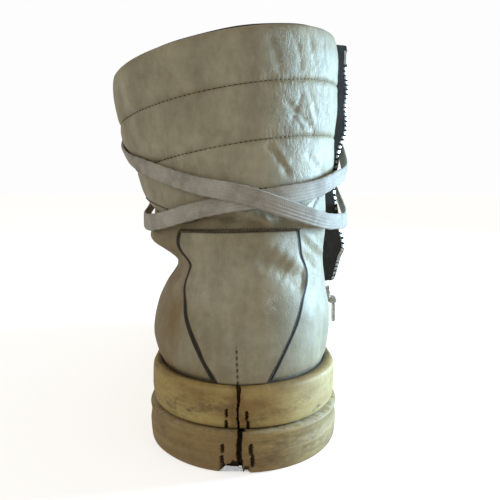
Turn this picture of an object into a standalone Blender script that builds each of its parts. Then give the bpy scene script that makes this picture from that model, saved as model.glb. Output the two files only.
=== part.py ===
"""High-top sneaker, left shoe, standing empty on its sole with its side zip open.

The toe points along +Y, the medial (zip) side is +X and +Z is up.
The origin is on the floor under the middle of the heel.
Every leather piece is taken from one surface, skin(turn, level, out):
turn runs from -1 (toe, by the lateral side) through 0 (back of the heel) to +1,
level is the height of a section, and out is the distance outside that surface.
"""

import math
from collections import namedtuple

import bmesh
import bpy
import numpy as np

# Sole sizes, in metres
SOLE_LENGTH = 0.308
SOLE_HEEL_WIDTH = 0.0888
SOLE_WAIST_WIDTH = 0.089
SOLE_BALL_WIDTH = 0.112
SOLE_HEEL_ROUND = 0.052
SOLE_TOE_ROUND = 0.078
OUTSOLE_HEIGHT = 0.0174
SOLE_HEIGHT = 0.036
FOOTBED_FLOOR = 0.022
INSOLE_THICKNESS = 0.005
TOE_SPRING = 0.013
TOE_SWING = 0.006
HEEL_SETBACK = 0.050
ARCH_RISE = 0.0025
LUG_DEPTH = 0.0030
LUG_GROOVE = 0.0050
LUG_PITCH = 0.0150
LUG_RIM = 0.0095
SPLIT_DEPTH = 0.0070
SPLIT_PLACE = -0.0016
UPPER_SPLIT_GAP = 0.0016
LOWER_SPLIT_GAP = 0.0026
CHIP_LATERAL = 0.0082
CHIP_MEDIAL = 0.0022
CHIP_HEIGHT = 0.0055

# Upper sizes
UPPER_MARGIN = 0.0105
UPPER_LENGTH = SOLE_LENGTH - UPPER_MARGIN
UPPER_HEEL_WIDTH = 0.080
UPPER_WAIST_WIDTH = 0.080
UPPER_BALL_WIDTH = 0.101
UPPER_SETBACK = 0.0045
ANKLE_HEIGHT = 0.101
COLLAR_HEIGHT = 0.180
COLLAR_WIDTH = 0.1025
COLLAR_DEPTH = 0.109
WALL = 0.0020
CLEARANCE = 0.0004
PANEL_GAP = 0.0006
PANEL_THICKNESS = 0.0014
CUFF_EDGE = 0.0022
CUFF_PUFF = 0.0050
THROAT_LEVEL = 0.076
THROAT_HALF_WIDTH = 0.020
THROAT_ROUND = 0.012
EYESTAY_WIDTH = 0.0135
TONGUE_HALF_WIDTH = 0.031
TONGUE_THICKNESS = 0.0060
TONGUE_TOP_LEVEL = 0.206

# Fastening sizes
EYELET_PAIRS = 6
EYELET_RADIUS = 0.0040
EYELET_HOLE = 0.0022
EYELET_HEIGHT = 0.0011
EYELET_SEAT = 0.0004
LACE_WIDTH = 0.0068
LACE_THICKNESS = 0.0014
LACE_STAND = 0.0008
ZIP_BOTTOM_LEVEL = 0.057
ZIP_HALF_SLOT = 0.0050
ZIP_OPENING = 0.0130
TAPE_THICKNESS = 0.0008
TAPE_TUCK = 0.0050
TAPE_FREE = 0.0070
TAPE_FLARE = 0.0090
TEETH_WIDTH = 0.0026
TEETH_THICKNESS = 0.0024
STOP_HEIGHT = 0.0085
SLIDER_LEVEL = 0.0625
SLIDER_HEIGHT = 0.0085
SLIDER_WIDTH = 0.0080
SLIDER_THICKNESS = 0.0030
EAR_THICKNESS = 0.0011
EAR_HEIGHT = 0.0030
PIN_RADIUS = 0.0006
PIN_OUT = 0.0018
PULL_PLAY = 0.0003
PULL_LENGTH = 0.0115
PULL_WIDTH = 0.0046
PULL_THICKNESS = 0.0013
KNUCKLE_RADIUS = 0.0015

# Where along the foot the widths of a section are given, as shares of the length
HEEL_AT = 0.20
WAIST_AT = 0.48
BALL_AT = 0.70

FootSection = namedtuple(
    "FootSection",
    "rise back front heel_round toe_round heel_lat heel_med waist_lat waist_med ball_lat ball_med",
)
# rise is a share of the height from the footbed's floor to the ankle, back and front are shares
# of the upper's length, the rounds too, and each width is a share of the upper's width there.
FOOT = (
    FootSection(0.000, 0.004, 0.995, 0.180, 0.240, 0.960, 0.940, 1.00, 0.82, 0.97, 0.98),
    FootSection(0.175, 0.000, 1.000, 0.185, 0.230, 1.000, 0.985, 1.03, 0.87, 0.99, 1.01),
    FootSection(0.330, -0.003, 0.985, 0.185, 0.230, 1.075, 1.030, 1.03, 0.91, 0.95, 0.97),
    FootSection(0.480, -0.003, 0.910, 0.180, 0.250, 1.040, 1.030, 0.99, 0.91, 0.85, 0.87),
    FootSection(0.630, 0.003, 0.752, 0.175, 0.290, 0.920, 0.985, 0.92, 0.89, 0.74, 0.76),
    FootSection(0.785, 0.012, 0.595, 0.165, 0.275, 0.800, 0.955, 0.87, 0.88, 0.66, 0.68),
    FootSection(0.900, 0.013, 0.512, 0.165, 0.235, 1.110, 0.985, 1.02, 0.93, 0.66, 0.68),
)

ShaftSection = namedtuple("ShaftSection", "rise back front heel_round front_round half shift roll pitch")
# rise is a share of the height from the ankle to the collar, back and front are shares of the
# collar's depth, half and shift are shares of half the collar's width, and the turns are degrees.
SHAFT = (
    ShaftSection(0.00, 0.035, 1.235, 0.46, 0.56, 0.815, -0.030, 1.0, 0.5),
    ShaftSection(0.21, 0.045, 1.125, 0.46, 0.52, 0.815, -0.035, 6.5, 2.0),
    ShaftSection(0.42, 0.035, 1.070, 0.46, 0.50, 0.880, -0.075, 10.0, 3.2),
    ShaftSection(0.55, 0.028, 1.050, 0.46, 0.50, 0.930, -0.110, 10.6, 3.6),
    ShaftSection(0.73, 0.015, 1.030, 0.46, 0.50, 0.970, -0.140, 10.6, 3.6),
    ShaftSection(1.00, 0.000, 1.000, 0.46, 0.50, 0.995, -0.180, 10.9, 3.8),
    ShaftSection(1.36, -0.010, 0.985, 0.46, 0.50, 1.000, -0.185, 10.9, 3.8),
)

# Levels of the two sewn channels between the collar's three padded bands, and of its own edges
CUFF_SEAMS = (0.1335, 0.1568)
CUFF_BOTTOM_BACK = 0.1012
COUNTER_TOP = 0.0990
CUFF_PEAK = 0.1135


def smooth(knots, values, at):
    """A curve through the values, as soft as a bent spline, straight beyond its ends."""
    knots, values = np.asarray(knots, float), np.asarray(values, float)
    step = np.diff(knots)
    rise = np.diff(values) / step
    slope = np.empty(len(knots))
    slope[0], slope[-1] = rise[0], rise[-1]
    slope[1:-1] = (step[1:] * rise[:-1] + step[:-1] * rise[1:]) / (step[1:] + step[:-1])
    at = np.asarray(at, float)
    i = np.clip(np.searchsorted(knots, at) - 1, 0, len(step) - 1)
    u = np.clip((at - knots[i]) / step[i], 0.0, 1.0)
    h = step[i]
    return (
        values[i] * (1 + 2 * u) * (1 - u) ** 2
        + slope[i] * h * u * (1 - u) ** 2
        + values[i + 1] * u**2 * (3 - 2 * u)
        + slope[i + 1] * h * u**2 * (u - 1)
    )


def section_table():
    """The foot and shaft sections in one table, in metres: columns by name."""
    rows = []
    for s in FOOT:
        rows.append(
            {
                "level": FOOTBED_FLOOR + s.rise * (ANKLE_HEIGHT - FOOTBED_FLOOR),
                "back": UPPER_SETBACK + s.back * UPPER_LENGTH,
                "front": UPPER_SETBACK + s.front * UPPER_LENGTH,
                "heel_round": s.heel_round * UPPER_LENGTH,
                "toe_round": s.toe_round * UPPER_LENGTH,
                "heel_lat": s.heel_lat * UPPER_HEEL_WIDTH / 2,
                "heel_med": s.heel_med * UPPER_HEEL_WIDTH / 2,
                "waist_lat": s.waist_lat * UPPER_WAIST_WIDTH / 2,
                "waist_med": s.waist_med * UPPER_WAIST_WIDTH / 2,
                "ball_lat": s.ball_lat * UPPER_BALL_WIDTH / 2,
                "ball_med": s.ball_med * UPPER_BALL_WIDTH / 2,
                "shift": 0.0,
                "roll": 0.0,
                "pitch": 0.0,
            }
        )
    for s in SHAFT:
        half = s.half * COLLAR_WIDTH / 2
        rows.append(
            {
                "level": ANKLE_HEIGHT + s.rise * (COLLAR_HEIGHT - ANKLE_HEIGHT),
                "back": UPPER_SETBACK + s.back * COLLAR_DEPTH,
                "front": UPPER_SETBACK + s.front * COLLAR_DEPTH,
                "heel_round": s.heel_round * COLLAR_DEPTH,
                "toe_round": s.front_round * COLLAR_DEPTH,
                "heel_lat": half,
                "heel_med": half,
                "waist_lat": half,
                "waist_med": half,
                "ball_lat": half,
                "ball_med": half,
                "shift": s.shift * COLLAR_WIDTH / 2,
                "roll": math.radians(s.roll),
                "pitch": math.radians(s.pitch),
            }
        )
    return {name: np.array([row[name] for row in rows]) for name in rows[0]}


SECTIONS = section_table()


def at_level(name, level):
    return smooth(SECTIONS["level"], SECTIONS[name], level)


def end_round(distance, length):
    """1 along the body of a section, falling to 0 over a rounded end of this length."""
    left = np.clip(1 - distance / length, 0.0, 1.0)
    return np.sqrt(np.maximum(1 - left**2, 0.0))


def half_width(y, level, medial):
    """Half the width of a section at a place along the foot, on one side, before the ends round it."""
    side = np.where(medial, 1.0, 0.0)
    heel = at_level("heel_lat", level) * (1 - side) + at_level("heel_med", level) * side
    waist = at_level("waist_lat", level) * (1 - side) + at_level("waist_med", level) * side
    ball = at_level("ball_lat", level) * (1 - side) + at_level("ball_med", level) * side
    share = (y - UPPER_SETBACK) / UPPER_LENGTH
    low = np.clip((share - HEEL_AT) / (WAIST_AT - HEEL_AT), 0, 1)
    high = np.clip((share - WAIST_AT) / (BALL_AT - WAIST_AT), 0, 1)
    low, high = low * low * (3 - 2 * low), high * high * (3 - 2 * high)
    return heel + (waist - heel) * low + (ball - waist) * high


def settle(x, y, z):
    """From the straight shoe to the real one: toe swung inwards and lifted, origin under the heel."""
    ahead = np.clip((y - BALL_AT * SOLE_LENGTH) / ((1 - BALL_AT) * SOLE_LENGTH), 0, 1.2)
    swing = TOE_SWING * ahead * ahead
    lift = TOE_SPRING * ahead * ahead
    return np.stack([x + swing, y - HEEL_SETBACK, z + lift], -1)


def bare_skin(turn, level):
    """A point of the upper's outer surface."""
    turn = (np.asarray(turn, float) + 1) % 2 - 1
    turn, level = np.broadcast_arrays(turn, np.asarray(level, float))
    back, front = at_level("back", level), at_level("front", level)
    y = back + (front - back) * (1 - np.cos(np.pi * np.abs(turn))) / 2
    width = half_width(y, level, turn > 0)
    width = width * end_round(y - back, at_level("heel_round", level))
    width = width * end_round(front - y, at_level("toe_round", level))
    across = np.sign(turn) * width
    roll, pitch = at_level("roll", level), at_level("pitch", level)
    x = at_level("shift", level) + across * np.cos(roll)
    z = level + across * np.sin(roll) + ((back + front) / 2 - y) * np.sin(pitch)
    return settle(x, y, z)


def skin(turn, level, out=0.0):
    """A point at a distance outside the upper's outer surface."""
    step_turn, step_level = 0.004, 0.0006
    along = bare_skin(turn + step_turn, level) - bare_skin(turn - step_turn, level)
    up = bare_skin(turn, level + step_level) - bare_skin(turn, level - step_level)
    normal = np.cross(along, up)
    normal /= np.linalg.norm(normal, axis=-1, keepdims=True)
    return bare_skin(turn, level) + np.asarray(out, float)[..., None] * normal


def turn_at(y, level):
    """How far round a section is at a distance from the sole's back."""
    back, front = at_level("back", level), at_level("front", level)
    share = np.clip((y - back) / (front - back), 0, 1)
    return np.arccos(1 - 2 * share) / np.pi


def turn_at_width(x, level, side):
    """Where a section comes within x of its own middle, near its front."""
    low, high = np.full(np.shape(level), 0.5), np.ones(np.shape(level))
    level = np.asarray(level, float)
    for _ in range(40):
        middle = (low + high) / 2
        back, front = at_level("back", level), at_level("front", level)
        y = back + (front - back) * (1 - np.cos(np.pi * middle)) / 2
        width = half_width(y, level, side > 0) * end_round(front - y, at_level("toe_round", level))
        wide = width * end_round(y - back, at_level("heel_round", level)) > x
        low, high = np.where(wide, middle, low), np.where(wide, high, middle)
    return side * (low + high) / 2


def throat_turn(level, side, out=0.0):
    """The throat's edge at a level, with out measured back from it."""
    level = np.asarray(level, float)
    share = np.clip((level - THROAT_LEVEL) / THROAT_ROUND, 0, 1)
    half = THROAT_HALF_WIDTH * np.sqrt(share)
    turn = turn_at_width(half + out, level, side)
    return np.where(share + out > 0, turn, side * 1.0)


def zip_middle(level):
    """The zip's line on the medial side, as a distance from the sole's back."""
    return smooth((ZIP_BOTTOM_LEVEL, ANKLE_HEIGHT, COLLAR_HEIGHT), (0.070, 0.064, 0.062), level)


def zip_turn(level, towards_toe, out=0.0):
    """The edge of the zip's slot, out being how far back from the slot."""
    level = np.asarray(level, float)
    rise = np.clip((level - ZIP_BOTTOM_LEVEL) / (COLLAR_HEIGHT - ZIP_BOTTOM_LEVEL), 0, 1)
    half = (ZIP_HALF_SLOT + ZIP_OPENING / 2 * rise) * np.sqrt(np.clip(rise * 25, 0, 1))
    return turn_at(zip_middle(level) + towards_toe * (half + out), level)


def material(name, colour, roughness, metallic=0.0):
    found = bpy.data.materials.get(name)
    if found:
        return found
    made = bpy.data.materials.new(name)
    made.use_nodes = True
    shader = made.node_tree.nodes["Principled BSDF"]
    shader.inputs["Base Color"].default_value = (*colour, 1.0)
    shader.inputs["Roughness"].default_value = roughness
    shader.inputs["Metallic"].default_value = metallic
    return made


def leather():
    return material("aged_leather", (0.52, 0.49, 0.39), 0.50)


def rubber():
    return material("yellowed_rubber", (0.50, 0.40, 0.22), 0.60)


def cotton():
    return material("grey_cotton", (0.55, 0.54, 0.50), 0.85)


def black_tape():
    return material("black_tape", (0.02, 0.02, 0.025), 0.80)


def nickel():
    return material("nickel", (0.60, 0.58, 0.52), 0.30, 1.0)


def foam():
    return material("dark_lining", (0.04, 0.04, 0.045), 0.85)


def add_object(name, mesh, finish):
    thing = bpy.data.objects.new(name, mesh)
    SHOE.objects.link(thing)
    thing.data.materials.append(finish)
    mesh.shade_smooth()
    mesh.set_sharp_from_angle(angle=math.radians(40))
    return thing


def mesh_of(name, points, faces):
    """A mesh with its doubled points merged and its faces turned outwards."""
    mesh = bpy.data.meshes.new(name)
    work = bmesh.new()
    corners = [work.verts.new(p) for p in points]
    for face in faces:
        work.faces.new([corners[i] for i in face])
    bmesh.ops.remove_doubles(work, verts=work.verts, dist=1e-6)
    bmesh.ops.dissolve_degenerate(work, edges=work.edges, dist=1e-6)
    bmesh.ops.recalc_face_normals(work, faces=work.faces)
    work.to_mesh(mesh)
    work.free()
    return mesh


def grid_faces(rows, columns, first=0):
    return [
        (
            first + r * columns + c,
            first + r * columns + c + 1,
            first + (r + 1) * columns + c + 1,
            first + (r + 1) * columns + c,
        )
        for r in range(rows - 1)
        for c in range(columns - 1)
    ]


def slab_mesh(name, inner, outer):
    """A closed solid between two grids of points of one size."""
    rows, columns = inner.shape[:2]
    count = rows * columns
    faces = grid_faces(rows, columns) + [f[::-1] for f in grid_faces(rows, columns, count)]
    border = [c for c in range(columns)]
    border += [r * columns + columns - 1 for r in range(1, rows)]
    border += [(rows - 1) * columns + c for c in range(columns - 2, -1, -1)]
    border += [r * columns for r in range(rows - 2, 0, -1)]
    for a, b in zip(border, border[1:] + border[:1]):
        faces.append((a, b, b + count, a + count))
    points = np.concatenate([inner.reshape(-1, 3), outer.reshape(-1, 3)])
    return mesh_of(name, points, faces)


def ring_stack(name, rings):
    """A closed solid from rings of points, each ring running heel, medial, toe, lateral and back."""
    count = len(rings[0])
    faces = []
    for r in range(len(rings) - 1):
        for c in range(count):
            d = (c + 1) % count
            faces.append((r * count + c, r * count + d, (r + 1) * count + d, (r + 1) * count + c))
    last = (len(rings) - 1) * count
    for c in range(count // 2):
        left, right = (count - c) % count, (count - c - 1) % count
        for first in (0, last):
            ends = [first + left, first + c, first + c + 1, first + right]
            faces.append(list(dict.fromkeys(ends)))
    return mesh_of(name, np.concatenate(rings), faces)


def band_mesh(name, middles, normals, width, thickness):
    """A flat band along a line of points, its flat side facing the normals."""
    middles, normals = np.asarray(middles, float), np.asarray(normals, float)
    ahead = np.gradient(middles, axis=0)
    ahead /= np.linalg.norm(ahead, axis=1, keepdims=True)
    normals = normals - (normals * ahead).sum(1, keepdims=True) * ahead
    normals /= np.linalg.norm(normals, axis=1, keepdims=True)
    across = np.cross(ahead, normals)
    low, high = middles - normals * thickness / 2, middles + normals * thickness / 2
    inner = np.stack([low - across * width / 2, low + across * width / 2], 1)
    outer = np.stack([high - across * width / 2, high + across * width / 2], 1)
    return slab_mesh(name, inner, outer)


def whole_body(mesh):
    """The mesh with the loose slivers that a Boolean leaves taken off: only its biggest piece stays."""
    work = bmesh.new()
    work.from_mesh(mesh)
    bmesh.ops.remove_doubles(work, verts=work.verts, dist=2e-6)
    bmesh.ops.dissolve_degenerate(work, edges=work.edges, dist=2e-6)
    seen, pieces = set(), []
    for first in work.verts:
        if first in seen:
            continue
        seen.add(first)
        piece, waiting = [], [first]
        while waiting:
            corner = waiting.pop()
            piece.append(corner)
            near = [edge.other_vert(corner) for edge in corner.link_edges]
            waiting += [other for other in near if other not in seen]
            seen.update(near)
        pieces.append(piece)
    pieces.sort(key=len)
    loose = [corner for piece in pieces[:-1] for corner in piece]
    bmesh.ops.delete(work, geom=loose, context="VERTS")
    work.to_mesh(mesh)
    work.free()
    return mesh


def cut_with(thing, cutter, operation="DIFFERENCE"):
    """Applies a Boolean and removes its cutter."""
    modifier = thing.modifiers.new("cut", "BOOLEAN")
    modifier.operation = operation
    modifier.solver = "EXACT"
    modifier.object = cutter
    graph = bpy.context.evaluated_depsgraph_get()
    made = bpy.data.meshes.new_from_object(thing.evaluated_get(graph))
    thing.modifiers.clear()
    thing.data = whole_body(made)
    bpy.data.objects.remove(cutter)
    return thing


def helper(name, mesh):
    thing = bpy.data.objects.new(name, mesh)
    CUTTERS.objects.link(thing)
    thing.hide_render = True
    thing.display_type = "WIRE"
    return thing


def box_mesh(name, low, high):
    mesh = bpy.data.meshes.new(name)
    work = bmesh.new()
    bmesh.ops.create_cube(work, size=1.0)
    low, high = np.array(low), np.array(high)
    bmesh.ops.scale(work, vec=high - low, verts=work.verts)
    bmesh.ops.translate(work, vec=(low + high) / 2, verts=work.verts)
    work.to_mesh(mesh)
    work.free()
    return mesh


# Sole

SOLE_TURNS = np.linspace(-1, 1, 57)[:-1]


def sole_outline(out):
    """The sole's plan outline, as rows of x and y, moved outwards by out."""

    def point(turn):
        turn = (turn + 1) % 2 - 1
        y = SOLE_LENGTH * (1 - np.cos(np.pi * np.abs(turn))) / 2
        share = y / SOLE_LENGTH
        medial = turn > 0
        knots = (0.0, HEEL_AT, WAIST_AT, BALL_AT, 1.0)
        heel, ball = SOLE_HEEL_WIDTH / 2, SOLE_BALL_WIDTH / 2
        lateral_waist, medial_waist = SOLE_WAIST_WIDTH * 0.545, SOLE_WAIST_WIDTH * 0.455
        lateral = smooth(knots, (heel, heel, lateral_waist, ball * 0.985, ball * 0.985), share)
        inner = smooth(knots, (heel, heel, medial_waist, ball * 1.015, ball * 1.015), share)
        width = np.where(medial, inner, lateral)
        width = width * end_round(y, SOLE_HEEL_ROUND) * end_round(SOLE_LENGTH - y, SOLE_TOE_ROUND)
        return np.stack([np.sign(turn) * width, y], -1)

    ahead = point(SOLE_TURNS + 0.004) - point(SOLE_TURNS - 0.004)
    normal = np.stack([ahead[:, 1], -ahead[:, 0]], -1)
    normal /= np.linalg.norm(normal, axis=1, keepdims=True)
    return np.roll(point(SOLE_TURNS) + out * normal, -len(SOLE_TURNS) // 2, axis=0)


def arch(y):
    """The lift of the tread under the waist."""
    share = np.clip((y / SOLE_LENGTH - 0.34) / 0.24, 0, 1)
    return ARCH_RISE * np.sin(np.pi * share) ** 2


def sole_ring(out, z, follow_arch=0.0):
    flat = sole_outline(out)
    return settle(flat[:, 0], flat[:, 1], z + follow_arch * arch(flat[:, 1]))


# Each row is a height as a share of the band's own height, and how far in the side is there.
OUTSOLE_SIDE = ((0.00, 0.0016), (0.09, 0.0007), (0.26, 0.0003), (0.55, 0.0001), (0.92, 0.0), (1.00, 0.0005))
MIDSOLE_SIDE = ((0.00, 0.0026), (0.07, 0.0012), (0.40, 0.0005), (0.75, 0.0007), (0.93, 0.0012), (1.00, 0.0024))


def make_outsole():
    rings = [
        sole_ring(-inset, share * OUTSOLE_HEIGHT, 1 - share) for share, inset in OUTSOLE_SIDE
    ]
    outsole = add_object("outsole", ring_stack("outsole", rings), rubber())
    cut_with(outsole, helper("lug_grooves", lug_groove_mesh()))
    cut_with(outsole, helper("lower_split", split_mesh(LOWER_SPLIT_GAP, -0.001, OUTSOLE_HEIGHT + 0.001, True)))
    return outsole


def lug_groove_mesh():
    """Grooves across the tread, each inside the tread's rim, as one mesh of boxes."""
    outline = sole_outline(-LUG_RIM)
    half = len(outline) // 2
    medial, lateral = outline[: half + 1], outline[half:]
    mesh = bpy.data.meshes.new("lug_grooves")
    work = bmesh.new()
    y = 0.030
    while y < SOLE_LENGTH - 0.030:
        right = np.interp(y, medial[:, 1], medial[:, 0])
        left = np.interp(y, lateral[::-1, 1], lateral[::-1, 0])
        corners = settle(np.array([left, right]), np.array([y, y]), np.array([arch(y), arch(y)]))
        low = corners[0] + np.array([0, -LUG_GROOVE / 2, -0.004])
        high = corners[1] + np.array([0, LUG_GROOVE / 2, LUG_DEPTH])
        made = bmesh.ops.create_cube(work, size=1.0)["verts"]
        bmesh.ops.scale(work, vec=high - low, verts=made)
        bmesh.ops.translate(work, vec=(low + high) / 2, verts=made)
        y += LUG_PITCH
    work.to_mesh(mesh)
    work.free()
    return mesh


def split_mesh(gap, low, high, chipped):
    """A wedge that opens the sole's side at the back of the heel, broken out at the floor if chipped."""
    back, front = -HEEL_SETBACK - 0.004, -HEEL_SETBACK + SPLIT_DEPTH
    half = gap / 2
    chip = CHIP_HEIGHT if chipped else 0.001
    left, right = (CHIP_LATERAL, CHIP_MEDIAL) if chipped else (half, half)
    outline = [(-left, low), (right, low), (half, low + chip), (half, high), (-half, high)]
    outline.append((-half, low + chip * 0.8))
    points = [(SPLIT_PLACE + x, back, z) for x, z in outline]
    points += [(SPLIT_PLACE + x * 0.6, front, z) for x, z in outline]
    count = len(outline)
    faces = [tuple(range(count)), tuple(range(2 * count - 1, count - 1, -1))]
    faces += [(i, (i + 1) % count, (i + 1) % count + count, i + count) for i in range(count)]
    return mesh_of("split", points, faces)


def upper_columns(level):
    """The turns of the upper's columns at a level: lateral, medial behind the zip, medial before it."""
    lateral = -abs(float(throat_turn(level, -1.0)))
    medial = float(throat_turn(level, 1.0))
    rear, fore = float(zip_turn(level, -1.0)), float(zip_turn(level, 1.0))
    return (
        np.linspace(lateral, 0.0, 20),
        np.linspace(0.0, rear, 9),
        np.linspace(fore, medial, 12),
    )


def closed_ring(level, out):
    """A section as a closed ring with the upper's own columns: heel, medial, toe, lateral."""
    left, rear, fore = upper_columns(level)
    turns = np.concatenate([rear, fore[1:-1], [1.0], left[1:-1]])
    return skin(turns, level, np.full(len(turns), out))


def make_midsole():
    """A cup: the sole's upper band, with a floor, open above for the foot."""
    band = SOLE_HEIGHT - OUTSOLE_HEIGHT - CLEARANCE
    bottom = OUTSOLE_HEIGHT + CLEARANCE
    turns = closed_turns()
    outer = [midsole_ring(turns, -inset, bottom + share * band) for share, inset in MIDSOLE_SIDE]
    levels = (SOLE_HEIGHT, (SOLE_HEIGHT + FOOTBED_FLOOR) / 2, FOOTBED_FLOOR)
    inner = [closed_ring(level, CLEARANCE) for level in levels]
    floor_ring = inner[-1].copy()
    inner[-1] = floor_ring
    midsole = add_object("midsole", ring_stack("midsole", outer + inner), rubber())
    high = SOLE_HEIGHT + 0.002
    cut_with(midsole, helper("upper_split", split_mesh(UPPER_SPLIT_GAP, OUTSOLE_HEIGHT - 0.001, high, False)))
    return midsole


def closed_turns():
    left, rear, fore = upper_columns(FOOTBED_FLOOR)
    return np.concatenate([rear, fore[1:-1], [1.0], left[1:-1]])


def midsole_ring(turns, out, z):
    """The sole's outline at the upper's own turns, so that both sides of the cup have one count."""
    whole = sole_outline(out)
    known = np.concatenate([np.arange(0, 29), np.arange(-27, 0)]) / 28.0
    order = np.argsort(known)
    known, whole = known[order], whole[order]
    known = np.concatenate([known, [1.0 + 1 / 28.0]])
    whole = np.concatenate([whole, whole[:1]])
    x = np.interp(turns, known, whole[:, 0])
    y = np.interp(turns, known, whole[:, 1])
    return settle(x, y, np.full(len(turns), z))


def make_insole():
    gap = -WALL - CLEARANCE
    low = FOOTBED_FLOOR + CLEARANCE
    levels = (low, low + INSOLE_THICKNESS * 0.5, low + INSOLE_THICKNESS)
    return add_object("insole", ring_stack("insole", [closed_ring(z, gap) for z in levels]), foam())


# Upper

UPPER_LEVELS = (
    [FOOTBED_FLOOR + CLEARANCE, SOLE_HEIGHT - 0.007]
    + [SOLE_HEIGHT + s * (THROAT_LEVEL - SOLE_HEIGHT) for s in (0.0, 0.18, 0.38, 0.60, 0.80)]
    + [THROAT_LEVEL + s * (ANKLE_HEIGHT - THROAT_LEVEL) for s in (0.0, 0.032, 0.12, 0.28, 0.48, 0.72, 1.0)]
    + [ANKLE_HEIGHT + s * (COLLAR_HEIGHT - ANKLE_HEIGHT) for s in (0.1, 0.22, 0.37, 0.56, 0.78, 1.0)]
)


def make_upper():
    """The main shell: one wall from the footbed to the collar, open below, at the throat and at the zip."""
    points, faces = [], []
    for part in range(3):
        rows = [skin(upper_columns(level)[part], level, np.zeros(1)) for level in UPPER_LEVELS]
        faces += grid_faces(len(rows), len(rows[0]), len(points))
        points += [p for row in rows for p in row]
    mesh = mesh_of("upper", points, faces)
    upper = add_object("upper", mesh, leather())
    shell = upper.modifiers.new("wall", "SOLIDIFY")
    shell.thickness = WALL
    shell.offset = -1.0
    shell.use_even_offset = True
    return upper


def patch(sides, rows, columns):
    """The turns and levels of a four-sided panel. sides(a, b) gives them for shares of its width and height."""
    a, b = np.meshgrid(np.asarray(columns, float), np.asarray(rows, float))
    return sides(a, b)


def make_panel(name, sides, rows, columns, outer, finish, inner=PANEL_GAP):
    turns, levels = patch(sides, rows, columns)
    low = skin(turns, levels, np.full(turns.shape, inner))
    a, b = np.meshgrid(np.asarray(columns, float), np.asarray(rows, float))
    high = skin(turns, levels, inner + outer(a, b))
    return add_object(name, slab_mesh(name, low, high), finish)


def counter_sides(a, b):
    """The heel counter: narrow at the sole, widest two thirds up, square at its top."""
    bottom, top = SOLE_HEIGHT + CLEARANCE, COUNTER_TOP
    level = bottom + (top - bottom) * b
    half = smooth((0, 0.25, 0.5, 0.7, 0.85, 1.0), (0.052, 0.090, 0.138, 0.180, 0.168, 0.172), b)
    return half * (2 * a - 1), level


def flat_thickness(a, b):
    return np.full(np.shape(a), PANEL_THICKNESS)


def make_counter():
    return make_panel(
        "heel_counter", counter_sides, np.linspace(0, 1, 10), np.linspace(0, 1, 9), flat_thickness, leather()
    )


def cuff_bottom(turn):
    """The collar's lower edge: flat over the counter, then rising on each side."""
    knots = (0.0, 0.18, 0.27, 0.385, 0.56, 1.0)
    rise = CUFF_PEAK - CUFF_BOTTOM_BACK
    heights = (0.0, 0.0, 0.45 * rise, rise, 0.9 * rise, 2 * rise)
    return CUFF_BOTTOM_BACK + np.interp(np.abs(turn), knots, heights)


def cuff_rows():
    """Shares of the collar's height: three rows in each padded band, and one in each sewn channel."""
    low, top = CUFF_BOTTOM_BACK, COLLAR_HEIGHT
    edges = (low, *CUFF_SEAMS, top)
    rows = [0.0]
    for bottom, upper in zip(edges, edges[1:]):
        rows += [(bottom + (upper - bottom) * s - low) / (top - low) for s in (0.18, 0.5, 0.82, 1.0)]
    return rows


def cuff_puff(a, b):
    """The collar's thickness: full in each band, thin at the seams and at its edges."""
    low, top = CUFF_BOTTOM_BACK, COLLAR_HEIGHT
    edges = [(z - low) / (top - low) for z in (low, *CUFF_SEAMS, top)]
    swell = np.zeros(np.shape(b))
    for bottom, upper in zip(edges, edges[1:]):
        share = np.clip((b - bottom) / (upper - bottom), 0, 1)
        swell = np.maximum(swell, np.sqrt(np.maximum(np.sin(np.pi * share), 0)))
    ends = np.clip(np.minimum(a, 1 - a) * 12, 0, 1)
    return CUFF_EDGE + (CUFF_PUFF - CUFF_EDGE) * swell * ends


def cuff_between(start, end):
    """Sides of a collar panel whose edges are two functions of the level."""

    def sides(a, b):
        level = CUFF_BOTTOM_BACK + (COLLAR_HEIGHT - CUFF_BOTTOM_BACK) * b
        for _ in range(3):
            turn = start(level) + (end(level) - start(level)) * a
            bottom = cuff_bottom(turn)
            level = bottom + (COLLAR_HEIGHT - bottom) * b
        return turn, level

    return sides


def make_cuffs():
    margin = 0.0012
    rear = cuff_between(
        lambda z: throat_turn(z, -1.0, EYESTAY_WIDTH + margin), lambda z: zip_turn(z, -1.0, margin)
    )
    fore = cuff_between(
        lambda z: zip_turn(z, 1.0, margin), lambda z: throat_turn(z, 1.0, EYESTAY_WIDTH + margin)
    )
    rows = cuff_rows()
    make_panel("collar_rear", rear, rows, np.linspace(0, 1, 27), cuff_puff, leather())
    make_panel("collar_front", fore, rows, np.linspace(0, 1, 4), cuff_puff, leather())


def make_eyestays():
    for name, side in (("eyestay_lateral", -1.0), ("eyestay_medial", 1.0)):

        def sides(a, b, side=side):
            level = THROAT_LEVEL + 0.0026 + (COLLAR_HEIGHT - THROAT_LEVEL - 0.0026) * b
            edge = throat_turn(level, side, 0.0006)
            outer_edge = throat_turn(level, side, EYESTAY_WIDTH)
            return edge + (outer_edge - edge) * a, level

        rows = np.concatenate([np.linspace(0, 0.2, 8), np.linspace(0.28, 1, 9)])
        make_panel(name, sides, rows, np.linspace(0, 1, 5), flat_thickness, leather())


def front_skin(share, level, half, out):
    """A point of the front of the shoe: share from -1 (lateral) to 1 (medial) of a half width."""
    share, level = np.broadcast_arrays(np.asarray(share, float), np.asarray(level, float))
    medial = turn_at_width(np.abs(share) * half, level, 1.0)
    lateral = turn_at_width(np.abs(share) * half, level, -1.0)
    turn = np.where(share >= 0, medial, lateral)
    return skin(turn, level, out)


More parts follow.
